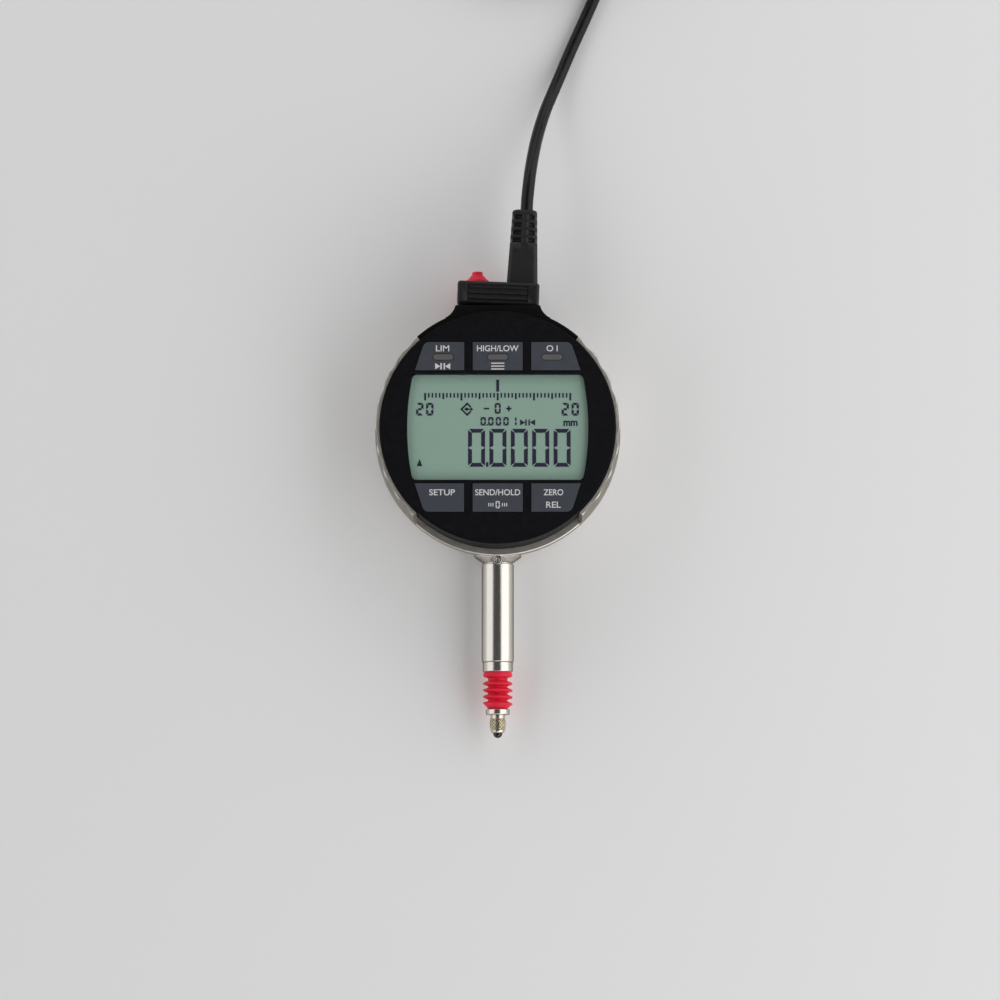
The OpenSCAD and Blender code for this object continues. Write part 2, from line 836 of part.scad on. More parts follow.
module light_outline(x, gap) {
    half = light_size[0] / 2 - light_size[1] / 2;
    r = light_size[1] / 2 + gap;
    translate([x, light_y]) {
        square([2 * half, 2 * r], center = true);
        for (s = [-1, 1]) translate([s * half, 0]) circle(r = r, $fn = 32);
    }
}

module face_plate() {
    color([0.03, 0.03, 0.035])
    difference() {
        translate([0, 0, face_z - plate_t]) cylinder(r = plate_r, h = plate_t);
        translate([0, 0, face_z - plate_t - 1]) linear_extrude(4) {
            window_outline(0);
            for (row = [0, 1]) mirror([0, row]) {
                mid_key_outline(0, key_y);
                side_key_outline(0, key_y);
                mirror([1, 0]) side_key_outline(0, key_y);
            }
        }
    }
}

module display_window() {
    color([0.7, 0.8, 0.78, 0.35])
    translate([0, 0, face_z - plate_t]) linear_extrude(plate_t - 0.1) window_outline(0.05);
}

module lcd_panel() {
    color([0.55, 0.64, 0.58])
    block([-22.9, -13.5, lcd_z], [22.9, 13.5, lcd_top_z]);
}

module lcd_frame() {
    color([0.2, 0.2, 0.2])
    difference() {
        block([-23.4, -13.7, board_top_z], [23.4, 13.7, lcd_z]);
        block([-22.4, -13.1, board_top_z - 1], [22.4, 13.1, lcd_z + 1]);
    }
}

module contact_strips() {
    color([0.85, 0.6, 0.65])
    for (s = [-1, 1])
        block([-20, s * 12.3 - 0.6, board_top_z], [20, s * 12.3 + 0.6, lcd_z]);
}

module display_board() {
    color([0.05, 0.35, 0.16])
    difference() {
        union() {
            translate([0, 0, board_z]) cylinder(r = 26.9, h = board_top_z - board_z);
            block([-6, -5, board_z - 1], [4, 4, board_z + eps]);
            block([-14, 6, board_z - 0.9], [-9, 11, board_z + eps]);
        }
        for (a = disc_screw_angles)
            rotate([0, 0, a + 60]) translate([disc_screw_ring_r, 0, board_z - 1])
                cylinder(r = tap_r, h = 3);
    }
}

module switch_domes() {
    color([0.8, 0.8, 0.78])
    for (x = [-switch_x, 0, switch_x], y = [-switch_y, switch_y])
        translate([x, y, board_top_z]) cylinder(r1 = 1.3, r2 = 0.9, h = 0.45);
}

module status_lights() {
    color([0.55, 0.52, 0.5])
    translate([0, 0, board_top_z]) linear_extrude(face_z + 0.05 - board_top_z)
        for (x = [-light_pos, 0, light_pos]) light_outline(x, 0);
}

module display_retainer() {
    color([0.6, 0.6, 0.62])
    difference() {
        union() {
            ring(deck_hole_r - 0.3, 17.3, retainer_low_z, floor_z);
            ring(retainer_r, 17.3, retainer_low_z, deck_z - 0.05);
            intersection() {
                ring(spigot_in_r - 0.3, retainer_r - 0.5, retainer_low_z, deck_z - 0.1);
                wedge(90 - tab_half_angle, 90 + tab_half_angle, retainer_low_z - 1, deck_z);
            }
        }
        for (a = disc_screw_angles)
            rotate([0, 0, a]) translate([disc_screw_ring_r, 0, retainer_low_z - 1]) {
                cylinder(r = tap_r, h = 5);
                cylinder(r = 1.2, h = 2);
            }
    }
}

module display_screws() {
    color([0.72, 0.72, 0.72])
    for (a = disc_screw_angles) {
        rotate([0, 0, a]) small_screw(disc_screw_ring_r, 0, retainer_low_z, screw_head_h, 2.7);
        rotate([0, 0, a + 60]) translate([0, 0, board_top_z + board_head_h])
            mirror([0, 0, 1]) small_screw(disc_screw_ring_r, 0, 0, board_head_h, 2.4);
    }
}

// ---------------------------------------------------------------- keys

// A key's cap, the flange under the face plate that holds it in, and its plunger
module key_body(x, lit) {
    cap_low_z = face_z - plate_t - 0.1;
    flange_z = cap_low_z - 0.9;
    color([0.25, 0.27, 0.31])
    difference() {
        union() {
            translate([0, 0, cap_low_z - eps])
                linear_extrude(face_z + key_proud - cap_low_z + eps) children(0);
            translate([0, 0, flange_z]) linear_extrude(cap_low_z - flange_z) children(1);
            translate([x, switch_y, board_top_z + 0.45 + key_travel + 0.1])
                cylinder(r = 1, h = flange_z - board_top_z - 0.54 - key_travel);
        }
        if (lit)
            translate([0, 0, board_top_z]) linear_extrude(10) light_outline(x, 0.13);
    }
}

module side_key(lit) {
    key_body(switch_x, lit) {
        side_key_outline(key_gap, key_y + key_gap);
        side_key_outline(-0.35, key_y + key_gap);
    }
}

module mid_key(lit) {
    key_body(0, lit) {
        mid_key_outline(key_gap, key_y + key_gap);
        mid_key_outline(-0.35, key_y + key_gap);
    }
}

module key_limits() { mirror([1, 0, 0]) side_key(true); }
module key_high_low() { mid_key(true); }
module key_power() { side_key(true); }
module key_set() { mirror([0, 1, 0]) mirror([1, 0, 0]) side_key(false); }
module key_hold() { mirror([0, 1, 0]) mid_key(false); }
module key_zero() { mirror([0, 1, 0]) side_key(false); }

// ---------------------------------------------------------------- data plug and cable

// The plug's own frame, turned a little about the middle of the socket
module on_plug() {
    translate([0, neck_top_y, 0]) rotate([0, 0, plug_turn]) translate([0, -neck_top_y, 0]) children();
}

module data_plug() {
    color([0.08, 0.08, 0.085])
    on_plug()
        difference() {
            union() {
                // body, with rounded long edges
                translate([-plug_half_w, 0, 0]) rotate([0, 90, 0]) rotate([0, 0, 90])
                    linear_extrude(2 * plug_half_w) plug_section();
                // tongue that goes into the socket
                block([-7.2, 28.1, 10.9], [7.2, plug_low_y + 0.5, 12.45]);
            }
            // three grip grooves in the front
            for (y = [32.6, 34.1, 35.6])
                block([-7.7, y - 0.3, plug_high_z - 0.45], [7.6, y + 0.3, plug_high_z + 1]);
        }
}

module plug_section() {
    bevel = 0.5;
    polygon([
        [plug_low_y, plug_low_z + bevel], [plug_low_y + bevel, plug_low_z],
        [plug_high_y - bevel, plug_low_z], [plug_high_y, plug_low_z + bevel],
        [plug_high_y, plug_high_z - bevel], [plug_high_y - bevel, plug_high_z],
        [plug_low_y + bevel, plug_high_z], [plug_low_y, plug_high_z - bevel]
    ]);
}

module strain_relief() {
    low_y = plug_high_y;
    color([0.08, 0.08, 0.085])
    on_plug()
        difference() {
            intersection() {
                translate([relief_x, 0, 0]) linear_extrude(40)
                    polygon([
                        [-relief_low_w / 2, low_y], [relief_low_w / 2, low_y],
                        [relief_high_w / 2, relief_high_y - 0.8], [relief_high_w / 2 - 0.8, relief_high_y],
                        [0.8 - relief_high_w / 2, relief_high_y], [-relief_high_w / 2, relief_high_y - 0.8]
                    ]);
                translate([-20, 0, 0]) rotate([0, 90, 0]) rotate([0, 0, 90]) linear_extrude(40)
                    polygon([
                        [low_y, relief_z - relief_t / 2], [relief_high_y, relief_z - relief_t / 2 + 0.7],
                        [relief_high_y, relief_z + relief_t / 2 - 0.7], [low_y, relief_z + relief_t / 2]
                    ]);
            }
            // pairs of flex notches, with a bar left between them
            for (i = [0:notch_count - 1])
                translate([relief_x, relief_high_y - 1.4 - i * notch_pitch, relief_z]) {
                    block([-4, -notch_h, 1.4], [notch_bar[0], 0, 4]);
                    block([notch_bar[1], -notch_h, 1.4], [4, 0, 4]);
                }
        }
}

module cable() {
    color([0.04, 0.04, 0.045]) swept_tube(cable_route, cable_r, 8);
}

module cable_coil() {
    color([0.04, 0.04, 0.045])
    translate([coil_pos[0], coil_pos[1], 0]) ring(coil_out_r, coil_in_r, 0, coil_h);
}

module cable_end() {
    color([0.04, 0.04, 0.045]) swept_tube(cable_end_route, cable_r, 8);
}

module on_usb() {
    translate([usb_x, usb_low_y, usb_z]) rotate([-90, 0, 0]) children();
}

module usb_relief() {
    color([0.08, 0.08, 0.085])
    on_usb() rotate_extrude()
        polygon([[0, -1.5], [2.1, -1.5], [2.1, 2.5], [2.9, 6.5], [0, 6.5]]);
}

module usb_grip() {
    color([0.08, 0.08, 0.085])
    translate([usb_x, 0, usb_z])
        round_block([-6.2, usb_low_y + 6.5, -4], [6.2, usb_low_y + 26, 4], 1.2);
}

module usb_shell() {
    color([0.8, 0.8, 0.8])
    translate([usb_x, 0, usb_z])
        difference() {
            block([-6, usb_low_y + 26, -2.25], [6, usb_low_y + 38, 2.25]);
            block([-5.7, usb_low_y + 25, -1.95], [5.7, usb_low_y + 39, 1.95]);
        }
}

module usb_insert() {
    color([0.9, 0.9, 0.9])
    translate([usb_x, 0, usb_z]) block([-5.6, usb_low_y + 26, -1.9], [5.6, usb_low_y + 37.4, 0]);
}

// ---------------------------------------------------------------- pieces

housing();
top_housing();
back_cover();
cover_gasket();
cover_screws();
cover_posts();
base_plate();
inner_screws();
battery_cap();
battery();
battery_holder();
sensor_board();
stem();
collar_screw();
lower_bush();
upper_bush();
stem_end_ring();
mechanism_frame();
transducer_sleeve();
coil_former();
coil_windings();
return_spring();
bellows();
display_seal();
glide_washer();
data_socket();
lift_port_plug();
spindle();
guide_pin();
transducer_core();
bellows_ring();
contact_point();
contact_ball();
bezel();
face_plate();
display_window();
lcd_panel();
lcd_frame();
contact_strips();
display_board();
switch_domes();
status_lights();
display_retainer();
display_screws();
key_limits();
key_high_low();
key_power();
key_set();
key_hold();
key_zero();
data_plug();
strain_relief();
cable();
cable_coil();
cable_end();
usb_relief();
usb_grip();
usb_shell();
usb_insert();
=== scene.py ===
"""Looks of a digital dial indicator that lies on its back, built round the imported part.

Lengths are in millimetres where a name says mm or a helper takes mm, and in metres elsewhere.
The part's frame: +Z out of the display, +X the display's right, the spindle points along -Y.
"""

import json
import math

import bmesh
import bpy
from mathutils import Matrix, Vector
from mathutils.bvhtree import BVHTree
from mathutils.geometry import tessellate_polygon


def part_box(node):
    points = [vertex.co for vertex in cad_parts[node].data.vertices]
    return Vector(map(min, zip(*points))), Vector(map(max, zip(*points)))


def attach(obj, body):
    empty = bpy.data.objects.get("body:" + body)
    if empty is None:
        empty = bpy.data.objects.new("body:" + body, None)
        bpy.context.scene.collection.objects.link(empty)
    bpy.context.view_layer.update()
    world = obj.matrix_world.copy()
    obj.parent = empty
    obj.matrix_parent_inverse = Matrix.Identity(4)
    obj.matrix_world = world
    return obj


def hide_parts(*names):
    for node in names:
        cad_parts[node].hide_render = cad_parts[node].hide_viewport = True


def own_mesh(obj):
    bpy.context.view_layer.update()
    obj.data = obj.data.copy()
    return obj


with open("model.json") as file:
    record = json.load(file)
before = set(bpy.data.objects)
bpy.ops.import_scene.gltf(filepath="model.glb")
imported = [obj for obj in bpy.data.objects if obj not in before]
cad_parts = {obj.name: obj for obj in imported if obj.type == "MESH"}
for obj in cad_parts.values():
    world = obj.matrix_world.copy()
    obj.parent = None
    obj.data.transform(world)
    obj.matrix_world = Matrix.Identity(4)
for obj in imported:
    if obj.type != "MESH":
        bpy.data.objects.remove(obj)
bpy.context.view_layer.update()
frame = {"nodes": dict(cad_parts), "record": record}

MM = 0.001
scene = bpy.context.scene
HOUSING = "housing_body"
SPINDLE = "spindle_body"
DISPLAY = "display_unit"


def box_mm(node):
    """Lowest and highest corners of a CAD node at rest, in millimetres."""
    low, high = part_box(node)
    return low / MM, high / MM


STEM_Z = (box_mm("spindle")[0].z + box_mm("spindle")[1].z) / 2
KEY_TOP_Z = box_mm("key_set")[1].z
LCD_TOP_Z = box_mm("lcd_panel")[1].z
WINDOW_LOW_Z = box_mm("display_window")[0].z


# ---------------------------------------------------------------- camera, floor and light

CAMERA_TILT = math.radians(6.611)
CAMERA_DISTANCE = 0.8
CAMERA_TARGET = Vector((0.559, -16.572, 13.0)) * MM
CAMERA_LENS = 115.98
SENSOR_WIDTH = 36.0


def make_camera():
    data = bpy.data.cameras.new("camera")
    data.lens = CAMERA_LENS
    data.sensor_width = SENSOR_WIDTH
    data.clip_start = 0.05
    data.clip_end = 20
    camera = bpy.data.objects.new("camera", data)
    scene.collection.objects.link(camera)
    away = Vector((0, -math.sin(CAMERA_TILT), math.cos(CAMERA_TILT)))
    camera.location = CAMERA_TARGET + CAMERA_DISTANCE * away
    camera.rotation_euler = (CAMERA_TILT, 0, 0)
    scene.camera = camera


def make_floor():
    """Plain pale table top, level with the part's back."""
    half = 3.0
    mesh = bpy.data.meshes.new("floor")
    corners = [(-half, -half, 0), (half, -half, 0), (half, half, 0), (-half, half, 0)]
    mesh.from_pydata(corners, [], [(0, 1, 2, 3)])
    floor = bpy.data.objects.new("floor", mesh)
    scene.collection.objects.link(floor)
    material = bpy.data.materials.new("floor_grey")
    material.use_nodes = True
    shader = material.node_tree.nodes["Principled BSDF"]
    shader.inputs["Base Color"].default_value = (0.84, 0.84, 0.84, 1)
    shader.inputs["Roughness"].default_value = 0.9
    shader.inputs["Specular IOR Level"].default_value = 0.1
    mesh.materials.append(material)


def make_panel(name, centre, aim, size, radiance):
    """Soft rectangular light of an even radiance."""
    data = bpy.data.lights.new(name, "AREA")
    data.shape = "RECTANGLE"
    data.size, data.size_y = size
    data.energy = radiance * size[0] * size[1] * math.pi
    light = bpy.data.objects.new(name, data)
    scene.collection.objects.link(light)
    light.location = centre
    towards = Vector(aim) - Vector(centre)
    light.rotation_euler = towards.to_track_quat("-Z", "Y").to_euler()
    light.visible_camera = False


def make_side_panel(name, top, foot, length, radiance):
    """Panel that runs along Y, between its upper and its lower edge, each given as (x, z)."""
    upper, lower = Vector((top[0], 0, top[1])), Vector((foot[0], 0, foot[1]))
    centre = (upper + lower) / 2
    inwards = (upper - lower).cross((0, 1, 0)).normalized()
    if inwards.dot(centre) > 0:
        inwards.negate()
    make_panel(name, centre, centre + inwards, (length, (upper - lower).length), radiance)


def make_lights():
    """A light tent. Its side panels leave a dark slot above, where the camera looks in."""
    make_side_panel("left_panel", (-0.50, 0.72), (-0.95, 0.03), 1.8, 1.02)
    make_side_panel("right_panel", (0.33, 0.72), (0.95, 0.03), 1.8, 1.4)
    make_panel("foot_panel", (0.3, -1.0, 0.45), (0, 0, 0), (1.2, 0.6), 1.75)
    make_panel("head_panel", (-0.1, 1.0, 0.5), (0, 0, 0), (1.2, 0.6), 1.3)
    world = bpy.data.worlds.new("world")
    world.use_nodes = True
    background = world.node_tree.nodes["Background"]
    background.inputs["Color"].default_value = (0.82, 0.82, 0.82, 1)
    background.inputs["Strength"].default_value = 0.085
    scene.world = world
    scene.view_settings.view_transform = "Standard"


make_camera()
make_floor()
make_lights()


# ---------------------------------------------------------------- materials


class Finish:
    """A procedural material, built up layer by layer. Scales are features per millimetre."""

    def __init__(self, name, colour, roughness, metallic=0.0, **fixed):
        self.material = bpy.data.materials.new(name)
        self.material.use_nodes = True
        self.tree = self.material.node_tree
        self.shader = self.tree.nodes["Principled BSDF"]
        self.colour = colour
        self.set("Base Color", (*colour, 1))
        self.set("Roughness", roughness)
        self.set("Metallic", metallic)
        for socket, value in fixed.items():
            self.set(socket.replace("_", " "), value)
        self.normal = None

    def set(self, socket, value):
        self.shader.inputs[socket].default_value = value

    def link(self, output, target):
        self.tree.links.new(output, target)

    def noise(self, scale, stretch=(1, 1, 1), detail=3.0):
        """Noise over the object's own coordinates, from 0 to 1."""
        place = self.tree.nodes.new("ShaderNodeTexCoord")
        mapping = self.tree.nodes.new("ShaderNodeMapping")
        mapping.inputs["Scale"].default_value = stretch
        noise = self.tree.nodes.new("ShaderNodeTexNoise")
        noise.inputs["Scale"].default_value = scale / MM
        noise.inputs["Detail"].default_value = detail
        self.link(place.outputs["Object"], mapping.inputs["Vector"])
        self.link(mapping.outputs["Vector"], noise.inputs["Vector"])
        return noise.outputs["Fac"]

    def ranged(self, value, low, high, start=0.3, end=0.7):
        ranged = self.tree.nodes.new("ShaderNodeMapRange")
        ranged.inputs["From Min"].default_value = start
        ranged.inputs["From Max"].default_value = end
        ranged.inputs["To Min"].default_value = low
        ranged.inputs["To Max"].default_value = high
        self.link(value, ranged.inputs["Value"])
        return ranged.outputs["Result"]

    def mottle(self, scale, other, stretch=(1, 1, 1), detail=3.0):
        """Colour that wanders between the base colour and another one."""
        mix = self.tree.nodes.new("ShaderNodeMix")
        mix.data_type = "RGBA"
        mix.inputs["A"].default_value = (*self.colour, 1)
        mix.inputs["B"].default_value = (*other, 1)
        wander = self.ranged(self.noise(scale, stretch, detail), 0.0, 1.0)
        self.link(wander, mix.inputs["Factor"])
        self.link(mix.outputs["Result"], self.shader.inputs["Base Color"])
        return self

    def sheen_range(self, scale, low, high, stretch=(1, 1, 1), detail=3.0):
        """Roughness that wanders between two values."""
        wander = self.ranged(self.noise(scale, stretch, detail), low, high)
        self.link(wander, self.shader.inputs["Roughness"])
        return self

    def grain(self, scale, depth_mm, stretch=(1, 1, 1), detail=2.0):
        """Fine relief; several layers add up."""
        bump = self.tree.nodes.new("ShaderNodeBump")
        bump.inputs["Strength"].default_value = 1.0
        bump.inputs["Distance"].default_value = depth_mm * MM
        self.link(self.noise(scale, stretch, detail), bump.inputs["Height"])
        if self.normal is not None:
            self.link(self.normal, bump.inputs["Normal"])
        self.normal = bump.outputs["Normal"]
        self.link(self.normal, self.shader.inputs["Normal"])
        return self


# Metals reflect far less than their base colour where the surface turns away: a painted dark
# reflection on the edges that turn away
PAINTED_EDGE_SHADE = (0.2, 0.19, 0.175, 1)


def make_finishes():
    """One material for each slot of the record, a few of their own for details, and a darker copy
    of black plastic that paints shade on the bezel and the top housing.
    """
    made = {}

    made["satin_metal"] = (
        Finish("satin_metal", (0.66, 0.625, 0.572), 0.42, 1.0, Specular_Tint=PAINTED_EDGE_SHADE)
        .mottle(0.25, (0.62, 0.587, 0.538))
        .sheen_range(0.9, 0.38, 0.5)
        .grain(7.0, 0.012)
    )
    made["ground_steel"] = (
        Finish("ground_steel", (0.76, 0.72, 0.67), 0.22, 1.0, Specular_Tint=PAINTED_EDGE_SHADE)
        .mottle(5.0, (0.7, 0.662, 0.615))
        .sheen_range(6.0, 0.17, 0.25)
        .grain(1.2, 0.001, stretch=(14, 1, 14))
        .grain(11.0, 0.004)
    )
    made["steel_screw"] = (
        Finish("steel_screw", (0.66, 0.65, 0.63), 0.25, 1.0)
        .mottle(1.5, (0.55, 0.54, 0.52))
        .sheen_range(3.0, 0.2, 0.34)
        .grain(9.0, 0.003)
    )
    made["dark_steel"] = (
        Finish("dark_steel", (0.2, 0.19, 0.18), 0.35, 1.0)
        .mottle(2.0, (0.12, 0.115, 0.11))
        .grain(8.0, 0.004)
    )
    made["brass"] = (
        Finish("brass", (0.72, 0.53, 0.27), 0.3, 1.0)
        .mottle(1.0, (0.6, 0.43, 0.2))
        .grain(3.0, 0.003, stretch=(1, 6, 1))
    )
    made["aluminium"] = (
        Finish("aluminium", (0.66, 0.67, 0.69), 0.38, 1.0)
        .mottle(0.6, (0.58, 0.59, 0.61))
        .grain(2.5, 0.004, stretch=(5, 1, 1))
    )
    made["copper"] = (
        Finish("copper", (0.7, 0.3, 0.13), 0.32, 1.0)
        .mottle(1.5, (0.55, 0.2, 0.08))
        .grain(8.0, 0.02, stretch=(1, 5, 1))
    )
    made["ferrite"] = (
        Finish("ferrite", (0.07, 0.07, 0.075), 0.6, 0.4)
        .mottle(3.0, (0.04, 0.04, 0.042))
        .grain(6.0, 0.01)
    )
    made["point_steel"] = (
        Finish("point_steel", (0.8, 0.735, 0.6), 0.22, 1.0, Specular_Tint=PAINTED_EDGE_SHADE)
        .mottle(1.2, (0.7, 0.63, 0.5))
        .sheen_range(3.0, 0.18, 0.3)
        .grain(11.0, 0.002)
    )
    made["carbide"] = (
        Finish("carbide", (0.06, 0.058, 0.06), 0.08, 1.0)
        .mottle(2.0, (0.045, 0.044, 0.046))
        .sheen_range(4.0, 0.05, 0.12)
    )
    made["black_plastic"] = (
        Finish("black_plastic", (0.0085, 0.0085, 0.009), 0.5, Specular_IOR_Level=0.35)
        .mottle(0.7, (0.0125, 0.0125, 0.013))
        .sheen_range(1.5, 0.42, 0.56)
        .grain(5.0, 0.016)
    )
    # Darker, duller copy of black_plastic for the bezel and the top housing: painted shade
    made["black_painted_shade"] = (
        Finish("black_painted_shade", (0.004, 0.004, 0.0045), 0.6, Specular_IOR_Level=0.06)
        .mottle(0.7, (0.006, 0.006, 0.0065))
        .sheen_range(1.5, 0.5, 0.66)
        .grain(5.0, 0.016)
    )
    made["black_rubber"] = (
        Finish("black_rubber", (0.012, 0.012, 0.012), 0.6)
        .mottle(1.0, (0.018, 0.018, 0.018))
        .grain(5.0, 0.012)
    )
    made["cable_black"] = (
        Finish("cable_black", (0.005, 0.005, 0.006), 0.3, Specular_IOR_Level=0.25)
        .mottle(0.6, (0.009, 0.009, 0.01))
        .sheen_range(0.8, 0.24, 0.38)
        .grain(1.4, 0.01)
    )
    made["red_rubber"] = (
        Finish("red_rubber", (0.86, 0.014, 0.052), 0.42, Specular_IOR_Level=0.3)
        .mottle(0.8, (0.7, 0.014, 0.04))
        .sheen_range(1.5, 0.36, 0.5)
        .grain(5.0, 0.008)
    )
    made["board_green"] = (
        Finish("board_green", (0.02, 0.14, 0.06), 0.3)
        .mottle(0.5, (0.015, 0.11, 0.05))
        .grain(2.0, 0.006)
    )
    made["white_plastic"] = (
        Finish("white_plastic", (0.76, 0.74, 0.69), 0.45)
        .mottle(0.6, (0.7, 0.68, 0.63))
        .grain(4.0, 0.008)
    )
    made["face_black"] = (
        Finish("face_black", (0.0032, 0.0034, 0.0052), 0.36, Specular_IOR_Level=0.2)
        .mottle(0.5, (0.005, 0.005, 0.0062))
        .sheen_range(1.0, 0.34, 0.44)
        .grain(6.0, 0.005)
    )
    made["key_grey"] = (
        Finish("key_grey", (0.048, 0.054, 0.068), 0.5)
        .mottle(0.3, (0.042, 0.047, 0.06))
        .sheen_range(1.2, 0.45, 0.56)
        .grain(7.0, 0.005)
    )
    made["light_grey"] = (
        Finish("light_grey", (0.125, 0.117, 0.113), 0.4)
        .mottle(1.2, (0.11, 0.103, 0.1))
        .grain(4.0, 0.006)
    )
    made["lcd"] = (
        Finish("lcd", (0.35, 0.51, 0.425), 0.6, Specular_IOR_Level=0.2)
        .mottle(0.03, (0.32, 0.465, 0.39))
        .grain(9.0, 0.003)
    )
    made["window_clear"] = Finish(
        "window_clear", (0.01, 0.012, 0.012), 0.08, Alpha=0.05, Specular_IOR_Level=0.3
    ).sheen_range(0.5, 0.06, 0.12)
    made["legend_white"] = (
        Finish("legend_white", (0.68, 0.68, 0.7), 0.5)
        .mottle(2.0, (0.62, 0.62, 0.64))
        .grain(9.0, 0.003)
    )
    made["segment_dark"] = (
        Finish("segment_dark", (0.03, 0.026, 0.055), 0.5, Specular_IOR_Level=0.2)
        .mottle(0.6, (0.036, 0.03, 0.066))
    )
    return {slot: finish.material for slot, finish in made.items()}


FINISHES = make_finishes()


def paint(obj, slot):
    """Gives a piece one material and no other."""
    obj.data.materials.clear()
    obj.data.materials.append(FINISHES[slot])


def paint_cad_nodes():
    for row in frame["record"]["subparts"]:
        paint(frame["nodes"][row["node"]], row["material_slot"])


paint_cad_nodes()


# ---------------------------------------------------------------- mesh helpers


def shade(obj, angle=35):
    """Smooth faces, with edges sharper than the angle kept crisp."""
    work = bmesh.new()
    work.from_mesh(obj.data)
    bmesh.ops.recalc_face_normals(work, faces=work.faces)
    for face in work.faces:
        face.smooth = True
    for edge in work.edges:
        if len(edge.link_faces) == 2:
            edge.smooth = edge.calc_face_angle() < math.radians(angle)
    work.to_mesh(obj.data)
    work.free()


def new_piece(name, mesh, body, slot, stands_for=()):
    """A piece on a body, painted, and standing for the CAD nodes it replaces."""
    obj = bpy.data.objects.new(name, mesh)
    scene.collection.objects.link(obj)
    paint(obj, slot)
    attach(obj, body)
    if stands_for:
        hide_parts(*stands_for)
    return obj


def mesh_mm(name, points, faces):
    mesh = bpy.data.meshes.new(name)
    mesh.from_pydata([Vector(p) * MM for p in points], [], faces)
    mesh.update()
    return mesh


SAME_POINT = 1e-7
FLAT_ANGLE = math.radians(0.3)
# How far a rounded edge may leave the old surface, as a share of its width
MOST_OFFSET = 0.45


def softened(node, body, slot, width_mm, segments=2, angle=30):
    """Copy of a CAD node with its sharp edges rounded off; it stands for the node."""
    work = bmesh.new()
    work.from_mesh(frame["nodes"][node].data)
    bmesh.ops.remove_doubles(work, verts=work.verts, dist=SAME_POINT)
    bmesh.ops.dissolve_limit(
        work, angle_limit=FLAT_ANGLE, verts=work.verts, edges=work.edges
    )
    before = BVHTree.FromBMesh(work)
    sharp = [
        e
        for e in work.edges
        if len(e.link_faces) == 2 and e.calc_face_angle() > math.radians(angle)
    ]
    bmesh.ops.bevel(
        work,
        geom=sharp,
        offset=width_mm * MM,
        segments=segments,
        profile=0.5,
        affect="EDGES",
        clamp_overlap=False,
    )
    # where edges crowd together, points that left the surface go back onto it
    for v in work.verts:
        place, _, _, distance = before.find_nearest(v.co)
        if distance > MOST_OFFSET * width_mm * MM:
            v.co = place
    mesh = bpy.data.meshes.new(node + "_soft")
    work.to_mesh(mesh)
    work.free()
    obj = new_piece(node + "_soft", mesh, body, slot, (node,))
    shade(obj)
    weighted = obj.modifiers.new("weighted_normals", "WEIGHTED_NORMAL")
    weighted.keep_sharp = True
    return obj


def loft(rings):
    """Points and faces of a closed body through rings with the same number of points."""
    count = len(rings[0])
    points = [p for ring in rings for p in ring]
    faces = []
    for i in range(len(rings) - 1):
        for k in range(count):
            after = (k + 1) % count
            a, b = i * count + k, i * count + after
            faces.append((a, b, b + count, a + count))
    faces.append(tuple(reversed(range(count))))
    faces.append(tuple((len(rings) - 1) * count + k for k in range(count)))
    return points, faces


def lathe(name, profile, steps, body, slot, stands_for=(), centre=(0, None), tilt=None, angle=35):
    """Body of revolution round a line along Y. The profile is (radius, y) in mm, and runs from
    end to end. tilt(y) leans the ring at that y, as a rise in mm per mm across."""
    x0, z0 = centre[0], STEM_Z if centre[1] is None else centre[1]
    rings = []
    for r, y in profile:
        lean = tilt(y) if tilt else 0
        ring = []
        for k in range(steps):
            a = 2 * math.pi * k / steps
            ring.append((x0 + r * math.cos(a), y + lean * r * math.cos(a), z0 + r * math.sin(a)))
        rings.append(ring)
    points, faces = loft(rings)
    obj = new_piece(name, mesh_mm(name, points, faces), body, slot, stands_for)
    shade(obj, angle)
    return obj


def smooth_step(t):
    t = min(1.0, max(0.0, t))
    return t * t * (3 - 2 * t)


# ---------------------------------------------------------------- cable

CABLE_D = 0.0031
COIL_CENTRE = Vector((0.009, 0.147, 0))
COIL_MID_R = 0.0175
COIL_COLUMNS = 5
COIL_LAYERS = 4
COIL_TOP_TURNS = 3
LAST_TURN_SHARE = 0.75
STEPS_PER_TURN = 60
# Share of a turn in which it steps over to its own place
STEP_OVER = 0.45
# From the strain relief down to the coil, as in the CAD source
CABLE_ROUTE = [
    (0.0072, 0.0555, 0.0161), (0.0074, 0.059, 0.01605), (0.0077, 0.062, 0.01575),
    (0.0081, 0.0655, 0.0149), (0.0087, 0.0695, 0.0134), (0.0096, 0.0745, 0.0109),
    (0.0108, 0.0795, 0.0081), (0.0123, 0.0845, 0.0055), (0.0142, 0.0895, 0.0035),
    (0.0166, 0.0955, 0.0022), (0.0193, 0.102, 0.00165), (0.0222, 0.1085, 0.00155),
    (0.0252, 0.1155, 0.00155), (0.028, 0.123, 0.00155), (0.0304, 0.131, 0.00155),
    (0.032, 0.139, 0.00155), (0.0327, 0.147, 0.00155),
]
# From the top of the coil into the plug at the far end, as in the CAD source
CABLE_END_ROUTE = [
    (0.009, 0.1295, 0.01085), (0.0125, 0.1297, 0.0113), (0.0156, 0.1305, 0.0124),
    (0.018, 0.132, 0.0139), (0.0194, 0.134, 0.0154), (0.02, 0.1363, 0.0164),
]


def through(points, step=0.0015):
    """Smooth line through a few points (Catmull-Rom), as points about one step apart."""
    points = [Vector(p) for p in points]
    ends = [2 * points[0] - points[1], *points, 2 * points[-1] - points[-2]]
    line = []
    for p0, p1, p2, p3 in zip(ends, ends[1:], ends[2:], ends[3:]):
        pieces = max(2, round((p2 - p1).length / step))
        for i in range(pieces):
            t = i / pieces
            line.append(
                0.5
                * (
                    2 * p1
                    + (p2 - p0) * t
                    + (2 * p0 - 5 * p1 + 4 * p2 - p3) * t**2
                    + (3 * p1 - p0 - 3 * p2 + p3) * t**3
                )
            )
    line.append(points[-1])
    return line


